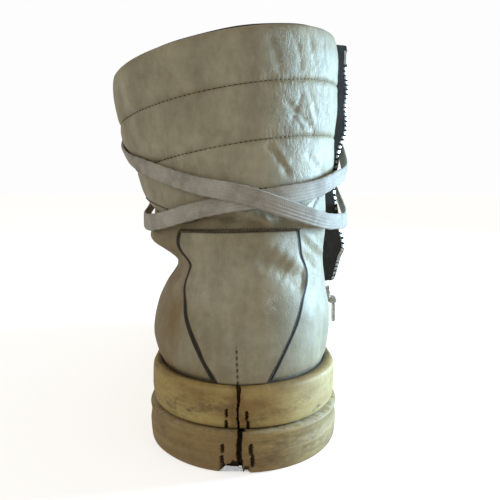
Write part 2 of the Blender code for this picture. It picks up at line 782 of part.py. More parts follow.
def make_tongue():
    """A padded strip under the throat, rounded at its top, standing above the collar."""
    rows = np.concatenate([np.linspace(THROAT_LEVEL - 0.006, ANKLE_HEIGHT, 7), np.linspace(0.112, TONGUE_TOP_LEVEL, 9)])
    columns = np.linspace(-1, 1, 9)
    share, level = np.meshgrid(columns, rows)
    rise = np.clip((level - TONGUE_TOP_LEVEL + 0.022) / 0.022, 0, 1)
    low = np.clip((THROAT_LEVEL + 0.016 - level) / 0.022, 0, 1)
    half = TONGUE_HALF_WIDTH * np.sqrt(np.maximum(1 - 0.75 * rise**2, 0.05)) * (1 - 0.45 * low)
    outside = -WALL - PANEL_GAP - 0.0006
    thick = TONGUE_THICKNESS * np.sqrt(np.maximum(1 - 0.72 * share**2, 0)) * (1 - 0.35 * rise)
    outer = front_skin(share, level, half, np.full(share.shape, outside))
    inner = front_skin(share, level, half, outside - thick)
    return add_object("tongue", slab_mesh("tongue", inner, outer), leather())


def eyelet_levels():
    """Levels of the eyelets, evenly along the eyestay."""
    levels = np.linspace(THROAT_LEVEL + 0.010, COLLAR_HEIGHT - 0.010, 60)
    line = skin(throat_turn(levels, 1.0, EYESTAY_WIDTH * 0.48), levels, np.zeros(60))
    run = np.concatenate([[0], np.cumsum(np.linalg.norm(np.diff(line, axis=0), axis=1))])
    return np.interp(np.linspace(0, run[-1], EYELET_PAIRS), run, levels)


def eyelet_places(side):
    """Centres, outward normals and seats of one side's eyelets: a seat is how far the eyestay rises round it."""
    level = eyelet_levels()
    turn = throat_turn(level, side, EYESTAY_WIDTH * 0.48)
    face = np.full(EYELET_PAIRS, PANEL_GAP + PANEL_THICKNESS)
    middle = skin(turn, level, face)
    normals = skin(turn, level, face + 0.001) - middle
    normals /= np.linalg.norm(normals, axis=1, keepdims=True)
    per_turn = np.linalg.norm(skin(turn + 0.001, level, face) - middle, axis=1) / 0.001
    per_level = np.linalg.norm(skin(turn, level + 0.001, face) - middle, axis=1) / 0.001
    seat = np.zeros(EYELET_PAIRS)
    for angle in np.arange(8) * np.pi / 4:
        round_turn = turn + EYELET_RADIUS * np.cos(angle) / per_turn
        rim = skin(round_turn, level + EYELET_RADIUS * np.sin(angle) / per_level, face)
        seat = np.maximum(seat, ((rim - middle) * normals).sum(1))
    return middle + normals * (seat + CLEARANCE + EYELET_SEAT)[:, None], normals, seat


def ring_mesh(name, centre, normal, outer, hole, height, sides=8):
    """A flat ring standing on its centre point along its normal."""
    normal = np.asarray(normal, float)
    first = np.cross(normal, (0, 0, 1))
    first /= np.linalg.norm(first)
    second = np.cross(normal, first)
    profile = ((outer, 0), (outer * 0.86, height), (hole * 1.15, height), (hole, 0))
    points, faces = [], []
    for i in range(sides):
        angle = 2 * math.pi * i / sides
        ray = math.cos(angle) * first + math.sin(angle) * second
        points += [centre + radius * ray + rise * normal for radius, rise in profile]
    for i in range(sides):
        j = (i + 1) % sides
        for k in range(4):
            m = (k + 1) % 4
            faces.append((i * 4 + k, i * 4 + m, j * 4 + m, j * 4 + k))
    return mesh_of(name, points, faces)


def make_eyelets():
    for word, side in (("lateral", -1.0), ("medial", 1.0)):
        centres, normals, _ = eyelet_places(side)
        for i, (centre, normal) in enumerate(zip(centres, normals), 1):
            name = f"eyelet_{word}_{i}"
            add_object(name, ring_mesh(name, centre, normal, EYELET_RADIUS, EYELET_HOLE, EYELET_HEIGHT), nickel())


def lace_path(turns, levels, out):
    """Middles and normals of a lace lying on the shoe at a height."""
    out = np.broadcast_to(np.asarray(out, float), np.shape(turns))
    middle = skin(turns, levels, out)
    normal = skin(turns, levels, out + 0.001) - middle
    return middle, normal / np.linalg.norm(normal, axis=1, keepdims=True)


def straight_across(share, level, run, centre):
    """Turns and levels of a line over the throat in the plane square to its run through a centre."""
    half = np.abs(share) * (THROAT_HALF_WIDTH + EYESTAY_WIDTH * 0.48)
    low, high = np.full(len(share), level - 0.004), np.full(len(share), level + 0.040)
    for _ in range(30):
        middle = (low + high) / 2
        turns = turns_over(share, half, middle)
        above = (bare_skin(turns, middle) - centre) @ run > 0
        low, high = np.where(above, low, middle), np.where(above, middle, high)
    return turns, middle


def turns_over(share, half, levels):
    return np.where(share >= 0, turn_at_width(half, levels, 1.0), turn_at_width(half, levels, -1.0))


def make_lace_bars():
    """A flat bar of lace straight over the throat from eyelet to eyelet, at each pair but the top one."""
    lift = PANEL_GAP + PANEL_THICKNESS + CLEARANCE * 3.2 + EYELET_SEAT + EYELET_HEIGHT + LACE_THICKNESS / 2
    share = np.linspace(-1, 1, 13)
    lateral, medial = eyelet_places(-1.0), eyelet_places(1.0)
    places = (lateral[0] + medial[0]) / 2
    seats = np.maximum(lateral[2], medial[2])
    runs = np.gradient(places, axis=0) * (0.0, 1.0, 1.0)
    runs /= np.linalg.norm(runs, axis=1, keepdims=True)
    for i, level in enumerate(eyelet_levels()[:-1]):
        turns, levels = straight_across(share, level, runs[i], places[i])
        line, normal = lace_path(turns, levels, lift + seats[i])
        name = f"lace_bar_{i + 1}"
        add_object(name, band_mesh(name, line, normal, LACE_WIDTH, LACE_THICKNESS), cotton())


# Each lace that goes round the ankle, as places of turn, level and how far it stands off
WRAP_OVER = (
    (-0.72, 0.1650, 0.0), (-0.55, 0.1530, 0.0), (-0.41, 0.1435, 0.0), (-0.25, 0.1312, 0.0),
    (-0.10, 0.1192, 0.0), (0.03, 0.1115, 0.0), (0.13, 0.1062, 0.0), (0.28, 0.1012, 0.0005),
    (0.42, 0.1030, 0.0022), (0.66, 0.1300, 0.0),
)
WRAP_UNDER = (
    (-0.66, 0.1260, 0.0), (-0.43, 0.1040, -0.0015), (-0.29, 0.1018, -0.0022), (-0.20, 0.1035, -0.0004),
    (-0.12, 0.1070, 0.0), (-0.02, 0.1098, 0.0), (0.05, 0.1105, 0.0), (0.13, 0.1117, 0.0),
    (0.30, 0.1157, 0.0008), (0.43, 0.1210, 0.0038), (0.72, 0.1560, 0.0),
)


def make_ankle_laces():
    """Two laces from the top eyelets round the back of the ankle, joined where they cross."""
    over = CUFF_PUFF + PANEL_GAP + CLEARANCE + LACE_THICKNESS / 2 + LACE_STAND
    bands = []
    for places, lift in ((WRAP_OVER, LACE_THICKNESS * 0.6), (WRAP_UNDER, 0.0)):
        knots, heights, stands = np.array(places).T
        turns = np.linspace(knots[0], knots[-1], 31)
        stand = smooth(knots, stands, turns)
        line, normal = lace_path(turns, smooth(knots, heights, turns), over + lift + stand)
        bands.append(band_mesh("wrap", line, normal, LACE_WIDTH, LACE_THICKNESS))
    laces = add_object("ankle_laces", bands[0], cotton())
    return cut_with(laces, helper("wrap", bands[1]), "UNION")


# Zip

def zip_half(level):
    """Half the width of the zip's slot."""
    rise = np.clip((np.asarray(level, float) - ZIP_BOTTOM_LEVEL) / (COLLAR_HEIGHT - ZIP_BOTTOM_LEVEL), 0, 1)
    return (ZIP_HALF_SLOT + ZIP_OPENING / 2 * rise) * np.sqrt(np.clip(rise * 25, 0, 1))


def tape_edge(level):
    """How far the opened tape stands out of the shaft: flat where the ankle laces hold it."""
    knots = (ZIP_BOTTOM_LEVEL, 0.070, 0.088, 0.0970, 0.129, 0.148, COLLAR_HEIGHT)
    shares = (0.0, 0.45, 0.95, 0.22, 0.10, 0.85, 1.0)
    return smooth(knots, np.array(shares) * TAPE_FLARE, level)


def zip_strip(name, levels, towards, columns, thickness, finish, flare):
    """A strip along one edge of the slot; columns are distances past the edge, and shares of the flare.

    Its thickness is square to its own face, so that it stays even where the strip climbs steeply.
    """
    levels = np.asarray(levels, float)
    behind = -WALL - CLEARANCE - TAPE_THICKNESS / 2
    free = np.minimum(TAPE_FREE, zip_half(levels) - TEETH_WIDTH - 0.0009)
    back = np.stack([-(share * free + past) for share, past, _ in columns], 1)
    out = np.stack([behind + (flare * tape_edge(levels) - behind) * rise for _, _, rise in columns], 1)
    run, climb = np.gradient(back, axis=1), np.gradient(out, axis=1)
    steep = np.hypot(run, climb)
    faces = []
    for side in (-thickness / 2, thickness / 2):
        turns = zip_turn(levels[:, None], towards, back + side * climb / steep)
        faces.append(skin(turns, levels[:, None] + 0 * back, out - side * run / steep))
    return add_object(name, slab_mesh(name, *faces), finish)


def make_zip_chains():
    """Tape, teeth and top stop on each edge of the zip's slot, the tape tucked behind the wall."""
    bottom = SLIDER_LEVEL + SLIDER_HEIGHT / 2 + 0.0030
    top = COLLAR_HEIGHT - STOP_HEIGHT - 0.0030
    for word, towards, flare in (("rear", -1.0, 1.0), ("front", 1.0, 0.35)):
        tape = ((0.0, -TAPE_TUCK, 0.0), (0.0, -0.0003, 0.0), (0.20, 0.0, 0.0), (1.0, -0.0005, 1.0))
        teeth = ((1.0, 0.0003, 1.0), (1.0, 0.0003 + TEETH_WIDTH, 1.0))
        levels = np.linspace(bottom, COLLAR_HEIGHT - 0.0012, 25)
        zip_strip(f"zip_tape_{word}", levels, towards, tape, TAPE_THICKNESS, black_tape(), flare)
        levels = np.linspace(bottom, top, 15)
        zip_strip(f"zip_teeth_{word}", levels, towards, teeth, TEETH_THICKNESS, nickel(), flare)
        levels = np.linspace(top + 0.0004, top + STOP_HEIGHT, 3)
        zip_strip(f"zip_stop_{word}", levels, towards, teeth, TEETH_THICKNESS, nickel(), flare)


def slider_base():
    """The middle of the slider's back, just outside the medial side."""
    levels = np.linspace(SLIDER_LEVEL - SLIDER_HEIGHT / 2, SLIDER_LEVEL + SLIDER_HEIGHT / 2, 5)
    levels, ahead = np.meshgrid(levels, np.linspace(-SLIDER_WIDTH / 2, SLIDER_WIDTH / 2, 5))
    near = skin(turn_at(zip_middle(levels) + ahead, levels), levels, np.zeros(levels.shape))
    middle = zip_middle(SLIDER_LEVEL) - HEEL_SETBACK
    return np.array([near[..., 0].max() + CLEARANCE, float(middle), SLIDER_LEVEL])


def pin_centre():
    low = SLIDER_LEVEL - SLIDER_HEIGHT / 2 + EAR_HEIGHT / 2
    base = slider_base()
    return np.array([base[0] + SLIDER_THICKNESS + PIN_OUT, base[1], low])


def rod_mesh(name, centre, radius, length, sides=12):
    """A rod along Y about its centre."""
    angles = np.arange(sides) * 2 * np.pi / sides
    ring = np.stack([np.cos(angles) * radius, np.zeros(sides), np.sin(angles) * radius], 1)
    low, high = ring + centre - [0, length / 2, 0], ring + centre + [0, length / 2, 0]
    faces = [tuple(range(sides)), tuple(range(2 * sides - 1, sides - 1, -1))]
    faces += [(i, i + sides, (i + 1) % sides + sides, (i + 1) % sides) for i in range(sides)]
    return mesh_of(name, np.concatenate([low, high]), faces)


def make_slider():
    """The slider's body with two ears and the pin that the pull tab turns on."""
    base, pin = slider_base(), pin_centre()
    half = np.array([0, SLIDER_WIDTH / 2, SLIDER_HEIGHT / 2])
    body = box_mesh("body", base - half, base + half + [SLIDER_THICKNESS, 0, 0])
    slider = add_object("zip_slider", body, nickel())
    gap = PULL_WIDTH * 0.5 + PULL_PLAY
    for side in (-1.0, 1.0):
        near = base + [SLIDER_THICKNESS - 0.0004, 0, pin[2] - base[2] - EAR_HEIGHT / 2]
        low, high = near + [0, side * gap, 0], near + [0, side * (gap + EAR_THICKNESS), EAR_HEIGHT]
        high[0] = pin[0] + PIN_RADIUS + 0.0007
        low[1], high[1] = min(low[1], high[1]), max(low[1], high[1])
        cut_with(slider, helper("ear", box_mesh("ear", low, high)), "UNION")
    length = 2 * (gap + EAR_THICKNESS * 0.6)
    cut_with(slider, helper("pin", rod_mesh("pin", pin, PIN_RADIUS, length)), "UNION")
    return slider


def make_pull():
    """The pull tab: a knuckle round the pin and a plate that hangs from it."""
    pin = pin_centre()
    pull = add_object("zip_pull", rod_mesh("pull", pin, KNUCKLE_RADIUS, PULL_WIDTH), nickel())
    low = pin + [-PULL_THICKNESS / 2, -PULL_WIDTH / 2, -PULL_LENGTH]
    high = pin + [PULL_THICKNESS / 2, PULL_WIDTH / 2, 0]
    cut_with(pull, helper("plate", box_mesh("plate", low, high)), "UNION")
    bore = rod_mesh("bore", pin, PIN_RADIUS + PULL_PLAY, PULL_WIDTH + 0.002)
    return cut_with(pull, helper("bore", bore))


def build():
    make_outsole()
    make_midsole()
    make_insole()
    make_upper()
    make_counter()
    make_cuffs()
    make_eyestays()
    make_tongue()
    make_eyelets()
    make_lace_bars()
    make_ankle_laces()
    make_zip_chains()
    make_slider()
    make_pull()


for old in list(bpy.data.objects):
    bpy.data.objects.remove(old)
SHOE = bpy.data.collections.new("high_top_sneaker")
CUTTERS = bpy.data.collections.new("cutters")
bpy.context.scene.collection.children.link(SHOE)
bpy.context.scene.collection.children.link(CUTTERS)
build()
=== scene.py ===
"""The looks of the high-top sneaker: its left shoe, worn, with the side zip open, seen from behind.

Metres, +Z up, the toe along +Y, the medial (zip) side +X. Every leather piece repeats the part's own
surface, skin(turn, level, out), at a fine pitch, with creases, seams, wear, painted shade and painted
highlights placed on it.
"""

import math
from collections import namedtuple

import bpy
import numpy as np
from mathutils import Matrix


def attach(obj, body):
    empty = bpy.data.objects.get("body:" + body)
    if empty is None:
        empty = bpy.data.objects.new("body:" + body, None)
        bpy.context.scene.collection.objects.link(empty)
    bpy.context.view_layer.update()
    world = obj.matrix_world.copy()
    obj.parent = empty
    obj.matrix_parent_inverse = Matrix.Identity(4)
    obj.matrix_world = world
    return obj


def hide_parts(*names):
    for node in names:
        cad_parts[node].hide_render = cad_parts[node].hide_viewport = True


# Sizes and tables of the part's source
SOLE_LENGTH, SOLE_HEEL_WIDTH, SOLE_WAIST_WIDTH, SOLE_BALL_WIDTH = 0.308, 0.0888, 0.089, 0.112
SOLE_HEEL_ROUND, SOLE_TOE_ROUND = 0.052, 0.078
OUTSOLE_HEIGHT, SOLE_HEIGHT, FOOTBED_FLOOR, INSOLE_THICKNESS = 0.0174, 0.036, 0.022, 0.005
TOE_SPRING, TOE_SWING, HEEL_SETBACK, ARCH_RISE = 0.013, 0.006, 0.050, 0.0025
LUG_DEPTH, LUG_GROOVE, LUG_PITCH, LUG_RIM = 0.0030, 0.0050, 0.0150, 0.0095
SPLIT_DEPTH, SPLIT_PLACE = 0.0070, -0.0016
UPPER_LENGTH, UPPER_HEEL_WIDTH, UPPER_WAIST_WIDTH, UPPER_BALL_WIDTH = 0.2975, 0.080, 0.080, 0.101
UPPER_SETBACK, ANKLE_HEIGHT, COLLAR_HEIGHT = 0.0045, 0.101, 0.180
COLLAR_WIDTH, COLLAR_DEPTH = 0.1025, 0.109
WALL, CLEARANCE, PANEL_GAP, PANEL_THICKNESS = 0.0020, 0.0004, 0.0006, 0.0014
CUFF_EDGE, CUFF_PUFF = 0.0022, 0.0050
THROAT_LEVEL, THROAT_HALF_WIDTH, THROAT_ROUND, EYESTAY_WIDTH = 0.076, 0.020, 0.012, 0.0135
TONGUE_HALF_WIDTH, TONGUE_THICKNESS, TONGUE_TOP_LEVEL = 0.031, 0.0060, 0.206
EYELET_PAIRS, EYELET_RADIUS, EYELET_HOLE, EYELET_HEIGHT, EYELET_SEAT = 6, 0.0040, 0.0022, 0.0011, 0.0004
LACE_WIDTH, LACE_THICKNESS, LACE_STAND = 0.0076, 0.0015, 0.0004
ZIP_BOTTOM_LEVEL, ZIP_HALF_SLOT, ZIP_OPENING = 0.057, 0.0050, 0.0130
TAPE_THICKNESS, TAPE_TUCK, TAPE_FREE, TAPE_FLARE = 0.0008, 0.0050, 0.0070, 0.0090
TEETH_WIDTH, TEETH_THICKNESS, STOP_HEIGHT = 0.0026, 0.0024, 0.0085
SLIDER_LEVEL, SLIDER_HEIGHT, SLIDER_WIDTH, SLIDER_THICKNESS = 0.0625, 0.0085, 0.0080, 0.0030
EAR_THICKNESS, EAR_HEIGHT, PIN_RADIUS, PIN_OUT = 0.0011, 0.0030, 0.0006, 0.0018
PULL_PLAY, PULL_LENGTH, PULL_WIDTH, PULL_THICKNESS, KNUCKLE_RADIUS = 0.0003, 0.0115, 0.0046, 0.0013, 0.0015
HEEL_AT, WAIST_AT, BALL_AT = 0.20, 0.48, 0.70
CUFF_SEAMS, CUFF_BOTTOM_BACK, COUNTER_TOP = (0.1335, 0.1568), 0.1012, 0.0990
CUFF_REACH, EYELET_LINE = COLLAR_HEIGHT - CUFF_BOTTOM_BACK, EYESTAY_WIDTH * 0.48
STITCH_PITCH, TOOTH_PITCH, WELD, MEDIAL_FROM = 0.0022, 0.00215, 2e-6, 0.012

FOOT = (  # rise back front heel_round toe_round heel_lat heel_med waist_lat waist_med ball_lat ball_med
    (0.000, 0.004, 0.995, 0.180, 0.240, 0.960, 0.940, 1.00, 0.82, 0.97, 0.98),
    (0.175, 0.000, 1.000, 0.185, 0.230, 1.000, 0.985, 1.03, 0.87, 0.99, 1.01),
    (0.330, -0.003, 0.985, 0.185, 0.230, 1.075, 1.030, 1.03, 0.91, 0.95, 0.97),
    (0.480, -0.003, 0.910, 0.180, 0.250, 1.040, 1.030, 0.99, 0.91, 0.85, 0.87),
    (0.630, 0.003, 0.752, 0.175, 0.290, 0.920, 0.985, 0.92, 0.89, 0.74, 0.76),
    (0.785, 0.012, 0.595, 0.165, 0.275, 0.800, 0.955, 0.87, 0.88, 0.66, 0.68),
    (0.900, 0.013, 0.512, 0.165, 0.235, 1.110, 0.985, 1.02, 0.93, 0.66, 0.68),
)
SHAFT = (  # rise back front heel_round front_round half shift roll pitch
    (0.00, 0.035, 1.235, 0.46, 0.56, 0.815, -0.030, 1.0, 0.5),
    (0.21, 0.045, 1.125, 0.46, 0.52, 0.815, -0.035, 6.5, 2.0),
    (0.42, 0.035, 1.070, 0.46, 0.50, 0.880, -0.075, 10.0, 3.2),
    (0.55, 0.028, 1.050, 0.46, 0.50, 0.930, -0.110, 10.6, 3.6),
    (0.73, 0.015, 1.030, 0.46, 0.50, 0.970, -0.140, 10.6, 3.6),
    (1.00, 0.000, 1.000, 0.46, 0.50, 0.995, -0.180, 10.9, 3.8),
    (1.36, -0.010, 0.985, 0.46, 0.50, 1.000, -0.185, 10.9, 3.8),
)
NAMES = "level back front heel_round toe_round heel_lat heel_med waist_lat waist_med ball_lat ball_med"
NAMES = (NAMES + " shift roll pitch").split()


def unit(vectors):
    return vectors / np.linalg.norm(vectors, axis=-1, keepdims=True)


def run_of(line):
    """How far along a line each of its points is."""
    return np.concatenate([[0], np.cumsum(np.linalg.norm(np.diff(line, axis=0), axis=1))])


def rolled(gap, radius):
    """A quarter round: 0 at an edge and 1 from this radius on."""
    return np.sqrt(np.clip(1 - (1 - np.clip(gap / radius, 0, 1)) ** 2, 0, 1))


def spread(values, count):
    """Rows of three values read at this count of even places from the first to the last."""
    at, known = np.linspace(0, 1, count), np.linspace(0, 1, len(values))
    return np.stack([np.interp(at, known, values[:, k]) for k in range(3)], 1)


def smooth(knots, values, at):
    """A soft curve through the values, straight beyond its ends."""
    knots, values = np.asarray(knots, float), np.asarray(values, float)
    step = np.diff(knots)
    rise = np.diff(values) / step
    slope = np.empty(len(knots))
    slope[0], slope[-1] = rise[0], rise[-1]
    slope[1:-1] = (step[1:] * rise[:-1] + step[:-1] * rise[1:]) / (step[1:] + step[:-1])
    at = np.asarray(at, float)
    i = np.clip(np.searchsorted(knots, at) - 1, 0, len(step) - 1)
    u = np.clip((at - knots[i]) / step[i], 0.0, 1.0)
    h = step[i]
    return (
        values[i] * (1 + 2 * u) * (1 - u) ** 2
        + slope[i] * h * u * (1 - u) ** 2
        + values[i + 1] * u**2 * (3 - 2 * u)
        + slope[i + 1] * h * u**2 * (u - 1)
    )


def section_table():
    rows = []
    heel, waist, ball = UPPER_HEEL_WIDTH / 2, UPPER_WAIST_WIDTH / 2, UPPER_BALL_WIDTH / 2
    for rise, back, front, hr, tr, *widths in FOOT:
        level = FOOTBED_FLOOR + rise * (ANKLE_HEIGHT - FOOTBED_FLOOR)
        sizes = np.array(widths) * (heel, heel, waist, waist, ball, ball)
        ends = [UPPER_SETBACK + back * UPPER_LENGTH, UPPER_SETBACK + front * UPPER_LENGTH]
        rows.append([level, *ends, hr * UPPER_LENGTH, tr * UPPER_LENGTH, *sizes, 0, 0, 0])
    for rise, back, front, hr, fr, half, shift, roll, pitch in SHAFT:
        level = ANKLE_HEIGHT + rise * (COLLAR_HEIGHT - ANKLE_HEIGHT)
        ends = [UPPER_SETBACK + back * COLLAR_DEPTH, UPPER_SETBACK + front * COLLAR_DEPTH]
        turns = [math.radians(roll), math.radians(pitch)]
        half_widths = [half * COLLAR_WIDTH / 2] * 6
        lean = [shift * COLLAR_WIDTH / 2, *turns]
        rows.append([level, *ends, hr * COLLAR_DEPTH, fr * COLLAR_DEPTH, *half_widths, *lean])
    return dict(zip(NAMES, np.array(rows, float).T))


SECTIONS = section_table()


def at_level(name, level):
    return smooth(SECTIONS["level"], SECTIONS[name], level)


def end_round(distance, length):
    left = np.clip(1 - distance / length, 0.0, 1.0)
    return np.sqrt(np.maximum(1 - left**2, 0.0))


def half_width(y, level, medial):
    side = np.where(medial, 1.0, 0.0)
    heel, waist, ball = (
        at_level(f"{place}_lat", level) * (1 - side) + at_level(f"{place}_med", level) * side
        for place in ("heel", "waist", "ball")
    )
    share = (y - UPPER_SETBACK) / UPPER_LENGTH
    low = np.clip((share - HEEL_AT) / (WAIST_AT - HEEL_AT), 0, 1)
    high = np.clip((share - WAIST_AT) / (BALL_AT - WAIST_AT), 0, 1)
    low, high = low * low * (3 - 2 * low), high * high * (3 - 2 * high)
    return heel + (waist - heel) * low + (ball - waist) * high


def settle(x, y, z):
    """From the straight shoe to the real one: toe swung inwards and lifted, origin under the heel."""
    ahead = np.clip((y - BALL_AT * SOLE_LENGTH) / ((1 - BALL_AT) * SOLE_LENGTH), 0, 1.2)
    return np.stack([x + TOE_SWING * ahead**2, y - HEEL_SETBACK, z + TOE_SPRING * ahead**2], -1)


def bare_skin(turn, level):
    turn = (np.asarray(turn, float) + 1) % 2 - 1
    turn, level = np.broadcast_arrays(turn, np.asarray(level, float))
    back, front = at_level("back", level), at_level("front", level)
    y = back + (front - back) * (1 - np.cos(np.pi * np.abs(turn))) / 2
    width = half_width(y, level, turn > 0)
    width = width * end_round(y - back, at_level("heel_round", level))
    width = width * end_round(front - y, at_level("toe_round", level))
    across = np.sign(turn) * width
    roll, pitch = at_level("roll", level), at_level("pitch", level)
    x = at_level("shift", level) + across * np.cos(roll)
    z = level + across * np.sin(roll) + ((back + front) / 2 - y) * np.sin(pitch)
    return settle(x, y, z)


def skin(turn, level, out=0.0):
    """A point at a distance outside the upper's outer surface."""
    along = bare_skin(turn + 0.004, level) - bare_skin(turn - 0.004, level)
    up = bare_skin(turn, level + 0.0006) - bare_skin(turn, level - 0.0006)
    return bare_skin(turn, level) + np.asarray(out, float)[..., None] * unit(np.cross(along, up))


def turn_at(y, level):
    back, front = at_level("back", level), at_level("front", level)
    return np.arccos(1 - 2 * np.clip((y - back) / (front - back), 0, 1)) / np.pi


def turn_at_width(x, level, side):
    """Where a section comes within x of its own middle, near its front."""
    x, level = np.broadcast_arrays(np.asarray(x, float), np.asarray(level, float))
    low, high = np.full(level.shape, 0.5), np.ones(level.shape)
    back, front = at_level("back", level), at_level("front", level)
    rounds = at_level("toe_round", level), at_level("heel_round", level)
    for _ in range(30):
        middle = (low + high) / 2
        y = back + (front - back) * (1 - np.cos(np.pi * middle)) / 2
        width = half_width(y, level, side > 0) * end_round(front - y, rounds[0])
        wide = width * end_round(y - back, rounds[1]) > x
        low, high = np.where(wide, middle, low), np.where(wide, high, middle)
    return side * (low + high) / 2


def throat_turn(level, side, out=0.0):
    level = np.asarray(level, float)
    share = np.clip((level - THROAT_LEVEL) / THROAT_ROUND, 0, 1)
    turn = turn_at_width(THROAT_HALF_WIDTH * np.sqrt(share) + out, level, side)
    return np.where(share + out > 0, turn, side * 1.0)


def zip_half(level):
    rise = np.clip((np.asarray(level, float) - ZIP_BOTTOM_LEVEL) / (COLLAR_HEIGHT - ZIP_BOTTOM_LEVEL), 0, 1)
    return (ZIP_HALF_SLOT + ZIP_OPENING / 2 * rise) * np.sqrt(np.clip(rise * 25, 0, 1))


def zip_middle(level):
    return smooth((ZIP_BOTTOM_LEVEL, ANKLE_HEIGHT, COLLAR_HEIGHT), (0.070, 0.064, 0.062), level)


def zip_turn(level, towards_toe, out=0.0):
    level = np.asarray(level, float)
    return turn_at(zip_middle(level) + towards_toe * (zip_half(level) + out), level)


# Creases, each a path of (turn, level in mm) on the upper's surface

COLLAR_CREASES = (  # width mm, depth mm (a ridge is positive), path
    (1.5, -0.80, ((0.084, 132.2), (0.108, 127.0), (0.126, 122.8), (0.142, 117.8))),
    (1.8, 0.35, ((0.100, 131.0), (0.124, 126.0), (0.146, 121.5))),
    (1.3, -0.55, ((0.138, 149.5), (0.162, 144.8), (0.190, 141.2), (0.218, 137.5), (0.246, 133.8))),
    (1.2, -0.45, ((0.198, 152.0), (0.178, 144.5), (0.154, 138.0))),
    (1.1, -0.40, ((0.146, 144.2), (0.176, 139.7), (0.196, 134.8))),
    (1.3, -0.45, ((0.212, 153.5), (0.236, 146.2), (0.254, 139.5))),
    (1.4, 0.35, ((0.205, 147.0), (0.226, 141.5), (0.240, 137.0))),
    (2.0, -0.40, ((0.118, 176.0), (0.126, 166.8), (0.140, 157.5))),
    (1.5, -0.35, ((0.176, 177.0), (0.192, 167.8), (0.196, 159.0))),
    (1.4, -0.35, ((0.234, 176.0), (0.240, 166.5), (0.264, 159.5))),
    (1.3, -0.30, ((0.290, 175.0), (0.286, 167.0), (0.300, 160.0))),
    (1.4, -0.30, ((0.300, 152.0), (0.296, 145.0), (0.312, 137.0))),
    (3.0, -0.35, ((0.036, 177.0), (0.034, 168.5), (0.022, 159.5))),
    (3.4, -0.30, ((-0.008, 154.0), (-0.012, 144.2), (-0.032, 136.2))),
    (3.5, -0.45, ((-0.420, 172.0), (-0.360, 166.0), (-0.300, 160.5))),
    (3.0, -0.45, ((-0.520, 150.0), (-0.430, 145.5), (-0.350, 141.0))),
    (2.6, -0.40, ((-0.600, 168.0), (-0.540, 160.0), (-0.500, 152.0))),
    (2.2, 0.40, ((0.020, 113.0), (0.070, 108.5), (0.110, 104.5))),
    (2.0, -0.50, ((0.200, 128.0), (0.240, 122.0), (0.290, 118.0))),
)
QUARTER_CREASES = (
    (2.0, 2.0, ((-0.060, 108.5), (-0.010, 107.6), (0.050, 104.6), (0.100, 101.0))),
    (1.8, -1.6, ((-0.070, 105.0), (-0.010, 104.2), (0.044, 101.8), (0.080, 99.6))),
    (1.4, -0.9, ((-0.050, 102.4), (-0.028, 104.2), (-0.010, 107.0))),
    (1.3, 0.9, ((-0.120, 103.0), (-0.060, 103.6), (-0.020, 102.0))),
    (1.2, -0.7, ((0.060, 108.0), (0.100, 105.2), (0.140, 103.4))),
    (3.5, -0.9, ((-0.150, 104.5), (-0.080, 104.0), (-0.010, 103.5))),
    (1.5, -0.8, ((0.176, 97.5), (0.218, 91.0), (0.300, 83.0))),
    (1.5, 0.6, ((0.186, 99.0), (0.230, 94.0), (0.312, 86.5))),
    (1.3, -0.6, ((0.196, 99.8), (0.250, 95.0), (0.330, 90.5))),
    (1.4, -0.6, ((0.176, 90.0), (0.208, 84.2), (0.246, 77.0))),
    (2.2, -1.0, ((-0.330, 91.0), (-0.270, 88.5), (-0.215, 87.0), (-0.190, 84.0))),
    (1.6, -0.6, ((-0.200, 98.0), (-0.225, 93.0), (-0.262, 90.0))),
    (3.0, 0.9, ((-0.340, 97.5), (-0.280, 95.8), (-0.230, 93.6))),
    (2.2, -0.7, ((-0.420, 88.0), (-0.480, 80.0), (-0.560, 74.0))),
    (2.4, -0.7, ((-0.400, 98.0), (-0.470, 90.0), (-0.540, 85.0))),
    (2.0, -0.6, ((0.430, 92.0), (0.480, 84.0), (0.560, 76.0))),
    (2.6, -0.8, ((-0.700, 62.0), (-0.745, 66.0), (-0.800, 70.0))),
    (2.6, -0.9, ((-0.690, 50.0), (-0.760, 58.0), (-0.850, 64.0), (-1.000, 66.0))),
    (2.6, -0.9, ((0.690, 50.0), (0.760, 58.0), (0.850, 64.0), (1.000, 66.0))),
    (2.2, -0.7, ((-0.720, 46.0), (-0.790, 54.0), (-0.880, 59.5))),
    (2.2, -0.7, ((0.720, 46.0), (0.790, 54.0), (0.880, 59.5))),
    (2.4, 0.5, ((-0.705, 48.0), (-0.775, 56.0), (-0.865, 62.0))),
    (2.4, 0.5, ((0.705, 48.0), (0.775, 56.0), (0.865, 62.0))),
)
COUNTER_CREASES = (
    (4.8, -1.8, ((0.036, 89.8), (0.088, 85.6), (0.130, 80.2), (0.165, 74.0))),
    (5.2, 1.7, ((0.000, 96.0), (0.055, 93.0), (0.110, 87.6), (0.165, 80.6))),
    (1.2, -0.3, ((-0.010, 88.0), (0.010, 83.0), (0.012, 78.0))),
    (6.0, -0.5, ((-0.090, 80.0), (-0.070, 66.0), (-0.060, 52.0))),
    (6.0, 0.5, ((-0.040, 78.0), (-0.030, 62.0), (-0.020, 50.0))),
)


